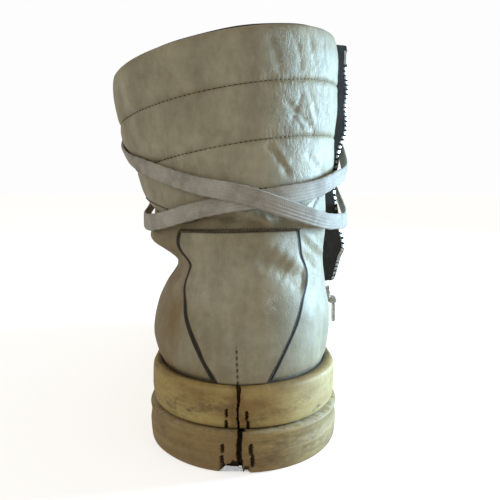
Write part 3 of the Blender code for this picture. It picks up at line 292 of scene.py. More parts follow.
# The two ankle laces round the back: turn, level in metres and how far each stands out there
WRAP_OVER = (
    (-0.72, 0.1650, -0.0002), (-0.55, 0.1530, -0.0012), (-0.41, 0.1435, -0.0014), (-0.25, 0.1312, -0.0004),
    (-0.10, 0.1192, 0.0), (0.03, 0.1115, 0.0), (0.13, 0.1062, 0.0), (0.28, 0.1012, 0.0009),
    (0.42, 0.1030, 0.0032), (0.66, 0.1300, 0.0),
)
WRAP_UNDER = (
    (-0.66, 0.1260, 0.0), (-0.43, 0.1040, -0.0015), (-0.29, 0.1018, -0.0022), (-0.20, 0.1035, -0.0004),
    (-0.12, 0.1070, 0.0), (-0.02, 0.1098, 0.0), (0.05, 0.1105, 0.0), (0.13, 0.1117, 0.0),
    (0.30, 0.1157, 0.0008), (0.43, 0.1210, 0.0038), (0.72, 0.1560, 0.0),
)


def near_line(points, line):
    """Each point's distance from a line of points, and its share along it."""
    run = run_of(line)
    best, along = np.full(len(points), 1e9), np.zeros(len(points))
    for a, b, start, end in zip(line, line[1:], run, run[1:]):
        step = b - a
        t = np.clip(((points - a) @ step) / max(step @ step, 1e-18), 0, 1)
        away = np.linalg.norm(points - a - t[:, None] * step, axis=1)
        closer = away < best
        best, along = np.where(closer, away, best), np.where(closer, start + (end - start) * t, along)
    return best, along / run[-1]


def line_on(path, count=24):
    """A smooth line of points over the surface through places of turn and level in mm."""
    knots = np.array(path, float)
    at = np.linspace(0, len(knots) - 1, count)
    turns, levels = (smooth(range(len(knots)), knots[:, k], at) for k in (0, 1))
    return skin(turns, levels / 1000, 0.0)


def pressed(turns, levels, table):
    """How far the listed creases move the surface at each place."""
    points = bare_skin(turns, levels).reshape(-1, 3)
    moved = np.zeros(len(points))
    for number, (width, depth, path) in enumerate(table):
        line, reach = line_on(path), width / 1000
        inside = (points > line.min(0) - 3 * reach) & (points < line.max(0) + 3 * reach)
        near = np.flatnonzero(inside.all(1))
        if len(near) == 0:
            continue
        away, share = near_line(points[near], line)
        taper = np.clip(np.minimum(share, 1 - share) * 4, 0, 1)
        uneven = 1 + 0.25 * np.sin(share * 17 + number * 1.7) + 0.12 * np.sin(share * 41 + number)
        uneven = 1 + (uneven - 1) * min(1.0, 1.6 / width)
        fall = np.exp(-((away / (reach * (0.8 + 0.2 * uneven))) ** 2))
        moved[near] += depth / 1000 * fall * taper * (2 - taper) * uneven
    return moved.reshape(np.shape(turns))


def lumps(points, size, seed):
    """A soft uneven field from -1 to 1 with waves of about this size."""
    dice = np.random.default_rng(seed)
    field = np.zeros(points.shape[:-1])
    for _ in range(7):
        way = dice.normal(size=3)
        way *= 2 * np.pi / (size * dice.uniform(0.7, 1.6)) / np.linalg.norm(way)
        field += np.sin(points @ way + dice.uniform(0, 6.28))
    return field / 4


def ease(value, low, high):
    t = np.clip((np.asarray(value, float) - low) / (high - low), 0, 1)
    return t * t * (3 - 2 * t)


# Materials


class Finish:
    """A material's node tree with short calls for its nodes."""

    def __init__(self, name, roughness=0.5, metallic=0.0, **fixed):
        self.material = bpy.data.materials.new(name)
        self.material.use_nodes = True
        self.tree = self.material.node_tree
        self.shader = self.tree.nodes["Principled BSDF"]
        self.shader.inputs["Roughness"].default_value = roughness
        self.shader.inputs["Metallic"].default_value = metallic
        for socket, value in fixed.items():
            self.shader.inputs[socket.replace("_", " ")].default_value = value
        self.place = self.add("TexCoord").outputs["Object"]
        self.height = None

    def add(self, kind, inputs=None, **settings):
        node = self.tree.nodes.new("ShaderNode" + kind)
        for name, value in settings.items():
            setattr(node, name, value)
        for key, value in (inputs or {}).items():
            self.feed(node.inputs[key], value)
        return node

    def feed(self, socket, value):
        if isinstance(value, bpy.types.NodeSocket):
            self.tree.links.new(value, socket)
        else:
            socket.default_value = value

    def stretched(self, scale, turn=(0, 0, 0)):
        mapping = self.add("Mapping", {"Vector": self.place, "Scale": scale, "Rotation": turn})
        return mapping.outputs["Vector"]

    def noise(self, scale, detail=4.0, rough=0.55, at=None, bend=0.0):
        inputs = {"Vector": at or self.place, "Scale": scale, "Detail": detail, "Roughness": rough}
        return self.add("TexNoise", {**inputs, "Distortion": bend}).outputs["Fac"]

    def cells(self, scale, feature="F1", at=None):
        inputs = {"Vector": at or self.place, "Scale": scale}
        return self.add("TexVoronoi", inputs, feature=feature).outputs["Distance"]

    def ramp(self, value, *stops):
        node = self.add("ValToRGB", {"Fac": value})
        elements = node.color_ramp.elements
        while len(elements) < len(stops):
            elements.new(0.5)
        for element, (at, colour) in zip(elements, stops):
            element.position = at
            element.color = (*colour, 1) if isinstance(colour, tuple) else (colour,) * 3 + (1,)
        return node.outputs["Color"]

    def sum(self, kind, a, b=0.0, c=0.0, clamp=False):
        node = self.add("Math", {0: a, 1: b, 2: c}, operation=kind, use_clamp=clamp)
        return node.outputs["Value"]

    def blend(self, share, a, b, kind="MIX"):
        node = self.add("MixRGB", {"Fac": share}, blend_type=kind)
        for socket, value in ((node.inputs[1], a), (node.inputs[2], b)):
            self.feed(socket, (*value, 1) if isinstance(value, tuple) else value)
        return node.outputs["Color"]

    def marks(self):
        attribute = self.add("Attribute", attribute_name="marks", attribute_type="GEOMETRY")
        split = self.add("SeparateColor", {"Color": attribute.outputs["Color"]})
        return [split.outputs[k] for k in ("Red", "Green", "Blue")] + [attribute.outputs["Alpha"]]

    def thread(self):
        node = self.add("SeparateXYZ", {"Vector": self.add("UVMap", uv_map="thread").outputs["UV"]})
        return node.outputs["X"], node.outputs["Y"]

    def bump(self, height, distance, strength=1.0):
        inputs = {"Height": height, "Distance": distance, "Strength": strength}
        if self.height:
            inputs["Normal"] = self.height
        self.height = self.add("Bump", inputs).outputs["Normal"]

    def done(self, colour, roughness=None):
        self.feed(self.shader.inputs["Base Color"], (*colour, 1) if isinstance(colour, tuple) else colour)
        if roughness:
            self.feed(self.shader.inputs["Roughness"], roughness)
        if self.height:
            self.feed(self.shader.inputs["Normal"], self.height)
        return self.material


def leather():
    """Aged off-white leather: marks are dark edges and a painted shadow line at the sole, brown stains and
    painted shade, wrinkling, and pale scuffs and painted highlights.
    """
    f = Finish("aged_leather", Coat_Weight=0.05, Coat_Roughness=0.36, Specular_IOR_Level=0.38)
    dark, stain_and_shade, wrinkled, scuffs_and_highlight = f.marks()
    colour = f.ramp(f.noise(26, 5, 0.6), (0.30, (0.425, 0.385, 0.262)), (0.52, (0.480, 0.440, 0.312)),
                    (0.72, (0.535, 0.505, 0.385)))
    colour = f.blend(0.45, colour, f.ramp(f.noise(210, 4, 0.7), (0.32, 0.40), (0.66, 0.62)), "OVERLAY")
    colour = f.blend(0.45, colour, f.ramp(f.noise(70, 6, 0.7, f.stretched((1, 1, 0.35))),
                                          (0.40, 0.30), (0.58, 0.56)), "OVERLAY")
    grime = f.ramp(f.noise(44, 7, 0.72), (0.54, 0.0), (0.70, 0.45))
    colour = f.blend(grime, colour, (0.270, 0.225, 0.140))
    # brown stains, and painted shade where the marks darken hollows, creases and the left side
    patchy = f.sum("MULTIPLY", stain_and_shade, f.ramp(f.noise(60, 6, 0.65), (0.30, 0.35), (0.62, 1.0)), clamp=True)
    colour = f.blend(patchy, colour, (0.300, 0.205, 0.092))
    cracks = f.cells(420, "DISTANCE_TO_EDGE", f.stretched((1, 1, 0.55), (0.2, 0.3, 0.4)))
    cracks = f.ramp(cracks, (0.0, 1.0), (0.035, 0.0))
    broken = f.ramp(f.noise(90), (0.42, 0.0), (0.6, 0.55))
    lines = f.sum("MULTIPLY", f.sum("MULTIPLY", cracks, wrinkled), broken)
    colour = f.blend(lines, colour, (0.20, 0.165, 0.110))
    specks = f.ramp(f.noise(640, 2, 0.5), (0.235, 0.75), (0.285, 0.0))
    colour = f.blend(f.sum("MULTIPLY", specks, f.ramp(f.noise(34), (0.45, 0.15), (0.65, 0.9))), colour,
                     (0.130, 0.100, 0.060))
    scrapes = f.noise(900, 3, 0.6, f.stretched((1, 1, 3)))
    # pale scuffs, and painted highlights on the lit right side
    pale = f.sum("MULTIPLY", scuffs_and_highlight, f.ramp(scrapes, (0.42, 0.0), (0.58, 1.0)))
    colour = f.blend(pale, colour, (0.640, 0.620, 0.540))
    # dark raw edges, and a painted shadow line where the upper meets the sole
    edge = f.sum("MULTIPLY", dark, f.ramp(f.noise(420, 4, 0.7), (0.25, 0.80), (0.60, 1.0)), clamp=True)
    colour = f.blend(edge, colour, (0.030, 0.024, 0.018))
    rough = f.ramp(f.noise(85, 5, 0.65), (0.30, 0.44), (0.70, 0.66))
    rough = f.blend(edge, rough, (0.85, 0.85, 0.85))
    f.bump(f.cells(1500, "SMOOTH_F1"), 0.00010, 0.55)
    f.bump(f.noise(3200, 3, 0.6), 0.00005, 0.5)
    f.bump(f.noise(330, 6, 0.66, f.stretched((1, 1, 0.7)), 0.6), 0.00028, 0.40)
    tilted = f.stretched((1, 1, 0.55), (0.5, 0.35, 0.2))
    ridged = f.sum("ABSOLUTE", f.sum("SUBTRACT", f.noise(300, 5, 0.62, tilted, 0.9), 0.5))
    folds = f.sum("MULTIPLY", f.ramp(ridged, (0.0, 0.0), (0.10, 1.0)), wrinkled)
    f.bump(f.sum("SUBTRACT", folds, wrinkled), 0.00026, 0.60)
    f.bump(pale, 0.00010, 0.6)
    return f.done(colour, rough)


def rubber(name, low, high, streaks):
    """Yellowed rubber: marks are dark dirt and painted shade in cuts and gaps, orange stains, cracking, and
    pale scuffs and painted highlights.
    """
    f = Finish(name, Specular_IOR_Level=0.42)
    dark, stain_and_shade, cracked, scuffs_and_highlight = f.marks()
    colour = f.ramp(f.noise(16, 6, 0.6), (0.32, low), (0.68, high))
    along = f.noise(140, 5, 0.65, f.stretched((0.12, 0.12, 2.2)))
    colour = f.blend(streaks, colour, f.ramp(along, (0.34, 0.32), (0.64, 0.64)), "OVERLAY")
    colour = f.blend(0.5, colour, f.ramp(f.noise(520, 4, 0.75), (0.30, 0.36), (0.66, 0.60)), "OVERLAY")
    blot = f.sum("MULTIPLY", stain_and_shade, f.ramp(f.noise(75, 6, 0.7), (0.28, 0.3), (0.62, 1.0)), clamp=True)
    colour = f.blend(blot, colour, (0.270, 0.145, 0.045))
    specks = f.ramp(f.noise(900, 3, 0.6), (0.30, 1.0), (0.36, 0.0))
    smear = f.ramp(f.noise(58, 7, 0.78, f.stretched((0.5, 0.5, 1.3))), (0.53, 0.0), (0.64, 0.70))
    colour = f.blend(smear, colour, (0.175, 0.115, 0.048))
    dirty = f.sum("ADD", f.ramp(f.noise(38, 4), (0.50, 0.0), (0.66, 0.55)), cracked, clamp=True)
    dirt_and_shade = f.sum("MULTIPLY", specks, dirty)
    colour = f.blend(dirt_and_shade, colour, (0.120, 0.080, 0.040))
    # pale scuffs, and painted highlights on the lower tier's lip and the lit right side
    pale = f.sum("MULTIPLY", scuffs_and_highlight, f.ramp(f.noise(300, 5, 0.7), (0.38, 0.0), (0.60, 1.0)))
    colour = f.blend(pale, colour, (0.660, 0.600, 0.440))
    # dark dirt and pits, and painted shade in the split, slots, chunk and the gaps between the tiers and the
    # upper
    edge = f.sum("MULTIPLY", dark, f.ramp(f.noise(380, 4, 0.7), (0.22, 0.75), (0.55, 1.0)), clamp=True)
    colour = f.blend(edge, colour, (0.026, 0.018, 0.010))
    rough = f.ramp(f.noise(60, 5, 0.7), (0.30, 0.46), (0.70, 0.74))
    f.bump(f.noise(1700, 4, 0.65), 0.00006, 0.6)
    f.bump(along, 0.00022, 0.45)
    f.bump(f.noise(120, 6, 0.7), 0.00040, 0.4)
    f.bump(f.sum("SUBTRACT", 0.0, dirt_and_shade), 0.00020, 0.7)
    return f.done(colour, rough)


def woven(name, low, high, ribs, picks, depth):
    """Woven tape or lace: ribs along it and picks across it, on its own thread map in metres."""
    f = Finish(name, 0.85, Sheen_Weight=0.0, Sheen_Roughness=0.5)
    dark, stain_and_shade, _, _ = f.marks()
    along, across = f.thread()
    rib = f.sum("SINE", f.sum("MULTIPLY", across, 2 * math.pi / ribs))
    lean = f.sum("MULTIPLY", f.sum("SIGN", f.sum("SINE", f.sum("MULTIPLY", across, math.pi / ribs))), 1.5708)
    pick = f.sum("SINE", f.sum("ADD", f.sum("MULTIPLY", along, 2 * math.pi / picks), lean))
    weave = f.sum("MULTIPLY_ADD", pick, 0.35, f.sum("MULTIPLY", rib, 0.65))
    colour = f.ramp(f.noise(55, 6, 0.7), (0.30, low), (0.70, high))
    shade = f.sum("MULTIPLY_ADD", weave, 0.5, 0.5)
    colour = f.blend(0.30, colour, f.ramp(shade, (0.0, 0.30), (0.75, 0.56)), "OVERLAY")
    colour = f.blend(0.4, colour, f.ramp(f.noise(1500, 3, 0.7), (0.30, 0.34), (0.70, 0.62)), "OVERLAY")
    soiling_and_shade = f.sum("MULTIPLY", stain_and_shade, f.ramp(f.noise(180, 5, 0.7), (0.35, 0.2), (0.62, 0.9)), clamp=True)
    colour = f.blend(soiling_and_shade, colour, (0.170, 0.135, 0.090))
    colour = f.blend(f.sum("MULTIPLY", dark, f.ramp(f.noise(700, 4, 0.7), (0.35, 0.2), (0.55, 1.0))), colour,
                     (0.045, 0.045, 0.050))
    f.bump(weave, depth, 0.8)
    f.bump(f.noise(2600, 3, 0.7), depth * 0.4, 0.7)
    return f.done(colour)


def lining():
    f = Finish("dark_lining", 0.9, Sheen_Weight=0.25, Sheen_Roughness=0.45)
    mesh = f.cells(900, "F1")
    colour = f.ramp(f.noise(50, 5), (0.3, (0.018, 0.020, 0.026)), (0.7, (0.046, 0.050, 0.062)))
    colour = f.blend(0.6, colour, f.ramp(mesh, (0.1, 0.35), (0.6, 0.62)), "OVERLAY")
    f.bump(mesh, 0.0002, 0.8)
    f.bump(f.noise(300, 5), 0.0004, 0.4)
    return f.done(colour)


def footbed():
    f = Finish("worn_footbed", 0.85, Sheen_Weight=0.1)
    colour = f.ramp(f.noise(30, 6, 0.6), (0.3, (0.090, 0.078, 0.058)), (0.7, (0.205, 0.185, 0.148)))
    weave = f.noise(1400, 3, 0.7)
    colour = f.blend(0.5, colour, f.ramp(weave, (0.3, 0.35), (0.7, 0.62)), "OVERLAY")
    f.bump(weave, 0.00012, 0.8)
    return f.done(colour)


def metal(name, low, high, roughness):
    f = Finish(name, roughness, 1.0)
    worn = f.noise(420, 6, 0.7)
    colour = f.ramp(worn, (0.30, low), (0.62, high))
    rough = f.ramp(f.noise(900, 4, 0.7), (0.3, roughness * 0.7), (0.7, min(roughness * 1.9, 0.8)))
    f.bump(f.noise(2200, 4, 0.7), 0.00004, 0.5)
    return f.done(colour, rough)


def thread_finish(name, low, high):
    f = Finish(name, 0.75, Sheen_Weight=0.15)
    colour = f.ramp(f.noise(260, 4, 0.7), (0.3, low), (0.7, high))
    f.bump(f.noise(4200, 3, 0.6, f.stretched((1, 1, 0.4))), 0.00006, 0.8)
    return f.done(colour)


# Meshes

Sheet = namedtuple("Sheet", "outer inner marks")


def quads(grid):
    """Faces over a grid of points, each as four places in it."""
    rows, columns = grid.shape[:2]
    spots = np.arange(rows * columns).reshape(rows, columns)
    corners = (spots[:-1, :-1], spots[:-1, 1:], spots[1:, 1:], spots[1:, :-1])
    return np.stack([c.ravel() for c in corners], 1)


def grid_part(grid, flip):
    faces = quads(grid)
    return grid.reshape(-1, 3), faces[:, ::-1] if flip else faces


def welded(points):
    """Which points are kept once near ones are one, and where each point's own is among them."""
    _, keep, index = np.unique(np.round(points / WELD), axis=0, return_index=True, return_inverse=True)
    return keep, index.reshape(-1)


def add_marks(mesh, marks):
    colours = mesh.attributes.new("marks", "FLOAT_COLOR", "POINT")
    colours.data.foreach_set("color", marks.astype(np.float32).ravel())


def piece(name, sheets, finishes, nodes, thread=None, sharp=50):
    """A closed piece from sheets, each a fine grid of outer and inner points, welded where they meet."""
    outer = np.concatenate([s.outer.reshape(-1, 3) for s in sheets])
    inner = np.concatenate([s.inner.reshape(-1, 3) for s in sheets])
    marks = np.concatenate([np.clip(s.marks, 0, 1).reshape(-1, 4) for s in sheets])
    faces, first = [], 0
    for s in sheets:
        faces.append(first + quads(s.outer))
        first += s.outer[..., 0].size
    keep, index = welded(outer)
    faces = index[np.concatenate(faces)]
    outer, inner, marks = outer[keep], inner[keep], marks[keep]
    if thread is not None:
        thread = np.concatenate([t.reshape(-1, 2) for t in thread])[keep]
    shells = []
    for face in faces.tolist():
        face = list(dict.fromkeys(face))
        if len(face) > 2:
            shells.append(face)
    count = len(outer)
    ends = np.array([(a, b) for f in shells for a, b in zip(f, f[1:] + f[:1])])
    codes, back = ends[:, 0] * count + ends[:, 1], ends[:, 1] * count + ends[:, 0]
    border = ends[~np.isin(codes, back)]
    whole = shells + [[i + count for i in reversed(f)] for f in shells]
    whole += [[b, a, a + count, b + count] for a, b in border.tolist()]
    mesh = bpy.data.meshes.new(name)
    mesh.from_pydata(np.concatenate([outer, inner]).tolist(), [], whole)
    add_marks(mesh, np.concatenate([marks, marks]))
    if thread is not None:
        spots = np.empty(len(mesh.loops), np.int32)
        mesh.loops.foreach_get("vertex_index", spots)
        places = thread[spots % count].astype(np.float32)
        mesh.uv_layers.new(name="thread").data.foreach_set("uv", places.ravel())
    if len(finishes) > 1:
        kinds = np.zeros(len(whole), np.int32)
        kinds[len(shells) : 2 * len(shells)] = 1
        mesh.polygons.foreach_set("material_index", kinds)
    return finished(name, mesh, finishes, nodes, "shoe", sharp)


def finished(name, mesh, finishes, nodes, body, sharp):
    for finish in finishes:
        mesh.materials.append(finish)
    mesh.shade_smooth()
    mesh.set_sharp_from_angle(angle=math.radians(sharp))
    thing = bpy.data.objects.new(name, mesh)
    bpy.context.scene.collection.objects.link(thing)
    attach(thing, body)
    if nodes:
        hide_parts(*nodes)
    return thing


def loose(name, parts, finishes, nodes, body="shoe", sharp=50):
    """One piece from many small closed meshes of points and faces."""
    points, faces, first = [], [], 0
    for spots, sides in parts:
        points += np.asarray(spots).tolist()
        faces += [[first + i for i in side] for side in sides]
        first += len(spots)
    mesh = bpy.data.meshes.new(name)
    mesh.from_pydata(points, [], faces)
    return finished(name, mesh, finishes, nodes, body, sharp)


def squared(normals, ahead):
    """Normals turned square to the way ahead, one unit long."""
    return unit(normals - (normals * ahead).sum(1, keepdims=True) * ahead)


def tube(line, radius, sides):
    """Points and faces of a round-ended cord along a line."""
    line = np.asarray(line, float)
    ahead = unit(np.gradient(line, axis=0))
    normals = squared(np.cross(ahead, (0.13, 0.21, 0.97)), ahead)
    across = np.cross(ahead, normals)
    line = np.concatenate([line[:1] - ahead[:1] * radius * 0.5, line, line[-1:] + ahead[-1:] * radius * 0.5])
    normals, across = (np.concatenate([a[:1], a, a[-1:]]) for a in (normals, across))
    size = np.full(len(line), radius) * np.where(np.isin(np.arange(len(line)), (0, len(line) - 1)), 0.45, 1)
    angles = (np.arange(sides) * 2 * np.pi / sides)[None, :, None]
    ring = np.cos(angles) * across[:, None] + np.sin(angles) * normals[:, None]
    points = (line[:, None] + size[:, None, None] * ring).reshape(-1, 3)
    faces = [list(range(sides)), [(len(line) - 1) * sides + i for i in reversed(range(sides))]]
    for r in range(len(line) - 1):
        for i in range(sides):
            j = (i + 1) % sides
            faces.append([r * sides + j, r * sides + i, (r + 1) * sides + i, (r + 1) * sides + j])
    return points, faces


def walk(line, pitch):
    """A line of points at an even pitch."""
    run = run_of(line)
    at = np.linspace(0, run[-1], max(2, int(round(run[-1] / pitch)) + 1))
    return np.stack([np.interp(at, run, line[:, k]) for k in range(3)], 1)


def stitches(lines, radius, length=0.0014, seed=3):
    """Threads along lines of (points, normals), each one dipping into the leather at its ends."""
    dice = np.random.default_rng(seed)
    parts = []
    for line, normals in lines:
        even = walk(line, STITCH_PITCH)
        ups = spread(normals, len(even))
        for i in range(len(even) - 1):
            step, up = even[i + 1] - even[i], ups[i] / np.linalg.norm(ups[i])
            share = length / max(np.linalg.norm(step), 1e-9) / 2
            middle = (even[i] + even[i + 1]) / 2 + up * dice.normal(0, 0.00003)
            step = step + np.cross(up, step) * dice.normal(0, 0.05)
            dips = np.array([-0.00035, 0.00004, 0.00012, 0.00004, -0.00035])
            places = middle + np.linspace(-share, share, 5)[:, None] * step + dips[:, None] * up
            parts.append(tube(places, radius, 6))
    return parts


SEWN = []


def sample(grid, rows, columns):
    rows = np.clip(rows, 0, grid.shape[0] - 1.001)
    columns = np.clip(columns, 0, grid.shape[1] - 1.001)
    r, c = rows.astype(int), columns.astype(int)
    u, v = (rows - r)[:, None], (columns - c)[:, None]
    return (grid[r, c] * (1 - u) * (1 - v) + grid[r + 1, c] * u * (1 - v)
            + grid[r, c + 1] * (1 - u) * v + grid[r + 1, c + 1] * u * v)


def sewn(grid, rows, columns):
    """A line of points and normals on a grid's own surface, for stitches."""
    along = sample(grid, rows, columns + 0.7) - sample(grid, rows, columns - 0.7)
    up = sample(grid, rows + 0.7, columns) - sample(grid, rows - 0.7, columns)
    return sample(grid, rows, columns), unit(np.cross(along, up))


def lined(turns, levels, out):
    """A line of points over the surface, with its normals."""
    line = skin(turns, levels, out)
    return line, unit(skin(turns, levels, np.asarray(out) + 0.001) - line)


def no_marks(shape):
    return np.zeros((*shape, 4))


def spots_at(points, table):
    """How strongly each point at the heel is marked by spots of x, z, width and height in mm and strength."""
    marks = np.zeros(points.shape[:-1])
    for x, z, wide, tall, strength in table:
        away = ((points[..., 0] * 1000 - x) / wide) ** 2 + ((points[..., 2] * 1000 - z) / tall) ** 2
        marks = np.maximum(marks, strength * np.exp(-away) * (points[..., 1] < 0.02))
    return marks


# Sole


def sole_outline(turns, out):
    """The sole's plan outline at these turns, as x and y, moved outwards by out."""

    def point(turn):
        turn = (turn + 1) % 2 - 1
        y = SOLE_LENGTH * (1 - np.cos(np.pi * np.abs(turn))) / 2
        knots = (0.0, HEEL_AT, WAIST_AT, BALL_AT, 1.0)
        heel, ball = SOLE_HEEL_WIDTH / 2, SOLE_BALL_WIDTH / 2
        waists = SOLE_WAIST_WIDTH * 0.545, SOLE_WAIST_WIDTH * 0.455
        lateral = smooth(knots, (heel, heel, waists[0], ball * 0.985, ball * 0.985), y / SOLE_LENGTH)
        medial = smooth(knots, (heel, heel, waists[1], ball * 1.015, ball * 1.015), y / SOLE_LENGTH)
        width = np.where(turn > 0, medial, lateral)
        width = width * end_round(y, SOLE_HEEL_ROUND) * end_round(SOLE_LENGTH - y, SOLE_TOE_ROUND)
        return np.stack([np.sign(turn) * width, y], -1)

    ahead = point(turns + 0.004) - point(turns - 0.004)
    normal = np.stack([ahead[..., 1], -ahead[..., 0]], -1)
    normal /= np.linalg.norm(normal, axis=-1, keepdims=True)
    return point(turns) + np.asarray(out, float)[..., None] * normal


def arch(y):
    share = np.clip((y / SOLE_LENGTH - 0.34) / 0.24, 0, 1)
    return ARCH_RISE * np.sin(np.pi * share) ** 2


GROOVES = np.arange(0.030, SOLE_LENGTH - 0.030, LUG_PITCH)


def turns_at(lengths):
    return np.arccos(1 - 2 * lengths / SOLE_LENGTH) / np.pi


def sole_turns():
    """Turns of the sole's columns on one side: fine at the heel's split, and on each tread groove's edges."""
    heel = turns_at(np.clip((np.linspace(0, 0.013, 46) ** 2) / (2 * 0.030), 0, 1))
    base = np.linspace(heel[-1] + 0.003, 1, 150)
    steps = [side * (LUG_GROOVE / 2 + soft) for side in (-1, 1) for soft in (0, 0.0004)]
    edges = turns_at(np.concatenate([GROOVES + step for step in steps]))
    near = np.abs(base[:, None] - edges[None]).min(1) < 0.0012
    return np.unique(np.concatenate([[0.0], heel[1:], base[~near], edges]))


def sole_hurt(x, z, lower):
    """How far in the heel's split, chips and slots go at places of x and z, with the painted shade in them.
    """
    wobble = 0.00022 * np.sin(z * 420 + 0.6) + 0.00008 * np.sin(z * 1300 + 1)
    gap = np.where(z < OUTSOLE_HEIGHT, 0.0010, 0.00042 + 0.00045 * ease(z, 0.028, 0.036))
    middle = SPLIT_PLACE + wobble + np.where(z < OUTSOLE_HEIGHT, 0.0005, 0.0)
    split = 1 - ease(np.abs(x - middle), gap * 0.80, gap * 1.10)
    # painted shade: each cut is darkened where it goes in
    depth, dirt_and_shade = SPLIT_DEPTH * split, split.copy()
    if lower:
        slots = ((-8.2, 10.4, 0.80, 1.9), (-8.4, 5.4, 0.85, 2.5),
                 (3.7, 10.3, 0.95, 2.4), (4.4, 5.6, 0.85, 2.9))
    else:
        slots = ((-6.5, 24.8, 0.62, 2.0), (-6.6, 19.6, 0.72, 2.5),
                 (2.0, 24.0, 0.70, 2.1), (2.5, 19.4, 0.72, 2.5))
    for sx, sz, wide, tall in slots:
        lean = (z * 1000 - sz) * 0.06 * np.sin(z * 3000)
        ragged = 0.16 * np.sin(z * 5200 + sx) + 0.10 * np.sin(z * 9100 + sz)
        away = np.hypot((x * 1000 - sx + lean + ragged * wide) / wide, ((z * 1000 - sz) / tall) ** 2)
        slot = 1 - ease(away, 0.55, 1.10)
        depth, dirt_and_shade = np.maximum(depth, 0.0020 * slot), np.maximum(dirt_and_shade, slot * 0.95)
    if lower:
        ragged = 0.0006 * np.sin(x * 1300) + 0.0003 * np.sin(x * 3300 + 2) + 0.28 * (x + 0.0046)
        chunk = 1 - ease(z, 0.0034 + ragged, 0.0052 + ragged)
        chunk = chunk * ease(x, -0.0098, -0.0084) * (1 - ease(x, -0.0003, 0.0007))
        torn = (1 - ease(z, 0.0020, 0.0040)) * ease(x, 0.0005, 0.0012) * (1 - ease(x, 0.0026, 0.0036))
        depth = np.maximum(depth, np.maximum(0.0060 * chunk, 0.0030 * torn))
        dirt_and_shade = np.maximum(dirt_and_shade, np.maximum(chunk * 0.9, torn * 0.55))
    return depth, dirt_and_shade


def sole_band(side, low, high, follow, lower):
    """One tier of the sole as a ring of side wall; side is rows of (share of height, inset in m)."""
    half = sole_turns()
    turns = np.concatenate([-half[:0:-1], half[:-1], [1.0]])
    shares = np.linspace(0, 1, 54)
    knots, insets = np.array(side).T
    inset = np.interp(shares, knots, insets)
    inset = np.convolve(np.pad(inset, 1, mode="edge"), (0.25, 0.5, 0.25), "valid")
    z = low + (high - low) * shares
    ring = np.stack([0.1 * np.sin(np.pi * turns), 0.1 * np.cos(np.pi * turns), turns * 0], -1)
    wavy = lumps(ring[None] + z[:, None, None] * (0, 0, 1), 0.035, 11)
    out = -inset[:, None] + 0.00022 * wavy
    flat = sole_outline(np.broadcast_to(turns, out.shape), out)
    z = np.broadcast_to(z[:, None], out.shape)
    place = settle(flat[..., 0], flat[..., 1], z + follow * arch(flat[..., 1]) * (1 - shares[:, None]))
    at_heel = flat[..., 1] < 0.02
    depth, dirt_and_shade = sole_hurt(place[..., 0], place[..., 2], lower)
    dented = sole_outline(np.broadcast_to(turns, out.shape), out - depth * at_heel)
    place = settle(dented[..., 0], dented[..., 1], z + follow * arch(flat[..., 1]) * (1 - shares[:, None]))
    return turns, shares, place, dirt_and_shade * at_heel


def sole_marks(place, shares, dirt_and_shade, lower):
    marks = no_marks(place.shape[:2])
    uneven = 0.5 + 0.5 * lumps(place, 0.030, 21)
    x = place[..., 0]
    # painted shade: the upper tier darkened along its foot, in the groove over the lower tier's lip
    edge = shares * 0 if lower else 1 - ease(shares, 0.0, 0.06)
    marks[..., 0] = np.maximum(dirt_and_shade, edge[:, None] * 0.85)
    top = ease(shares, 0.86, 1.0)[:, None] * (0.55 + 0.45 * uneven)
    low = (1 - ease(shares, 0.0, 0.16))[:, None]
    if lower:
        left = 0.4 * np.exp(-(((x + 0.02) / 0.02) ** 2)) * (place[..., 1] < 0)
        marks[..., 1] = 0.45 * uneven + 0.35 * low + left
        # painted highlight: the lower tier's lip paled along its top, more on the lit right side
        marks[..., 3] = 0.45 * ease(shares, 0.95, 0.99)[:, None] + 0.15 * uneven
        marks[..., 3] += 0.35 * (ease(shares, 0.93, 0.97)[:, None] * ease(x, 0.006, 0.02))
    else:
        patches = ((-17, 30, 8, 3.0, 0.85), (8, 29, 9, 3.2, 0.9), (0, 25, 12, 8, 0.85), (14, 23, 7, 4, 0.6),
                   (-30, 22, 5, 3, 0.5), (30, 30, 6, 3, 0.5))
        marks[..., 1] = np.maximum.reduce([0.85 * top, 0.30 * uneven, spots_at(place, patches)])
        marks[..., 1] += 0.35 * low * uneven + spots_at(place, ((-20, 33, 12, 2, 0.5), (18, 34, 10, 2, 0.4)))
        table = [(-16.5, 28.5, 2.6, 1.8, 0.9), (-13.5, 29.5, 1.6, 1.2, 0.8)]
        table += [(7.5, 29.3, 3.4, 1.3, 0.85), (-11.0, 26.5, 1.8, 1.0, 0.5), (-9.0, 24.0, 2, 2, 0.3)]
        marks[..., 2] = spots_at(place, table)
        pits = ((-22.7, 23.9, 0.55, 0.45, 0.8), (-22.2, 23.3, 0.4, 0.35, 0.7),
                (33.5, 21.6, 0.9, 0.6, 1.0), (31.0, 20.9, 0.6, 0.4, 0.8),
                (21.2, 34.2, 0.25, 1.6, 0.8), (-13.4, 27.6, 0.3, 0.5, 0.8),
                (26.5, 18.9, 0.8, 0.35, 0.6), (-30.0, 20.5, 2.0, 0.3, 0.4))
        marks[..., 0] = np.maximum(marks[..., 0], spots_at(place, pits))
        # painted highlight: the upper tier paler towards the lit right side
        marks[..., 3] = 0.25 * ease(x, 0.0, 0.05) * uneven
    marks[..., 1] += 0.5 * np.exp(-((np.abs(x - SPLIT_PLACE) / 0.0045) ** 2)) * (place[..., 1] < -0.03)
    return marks


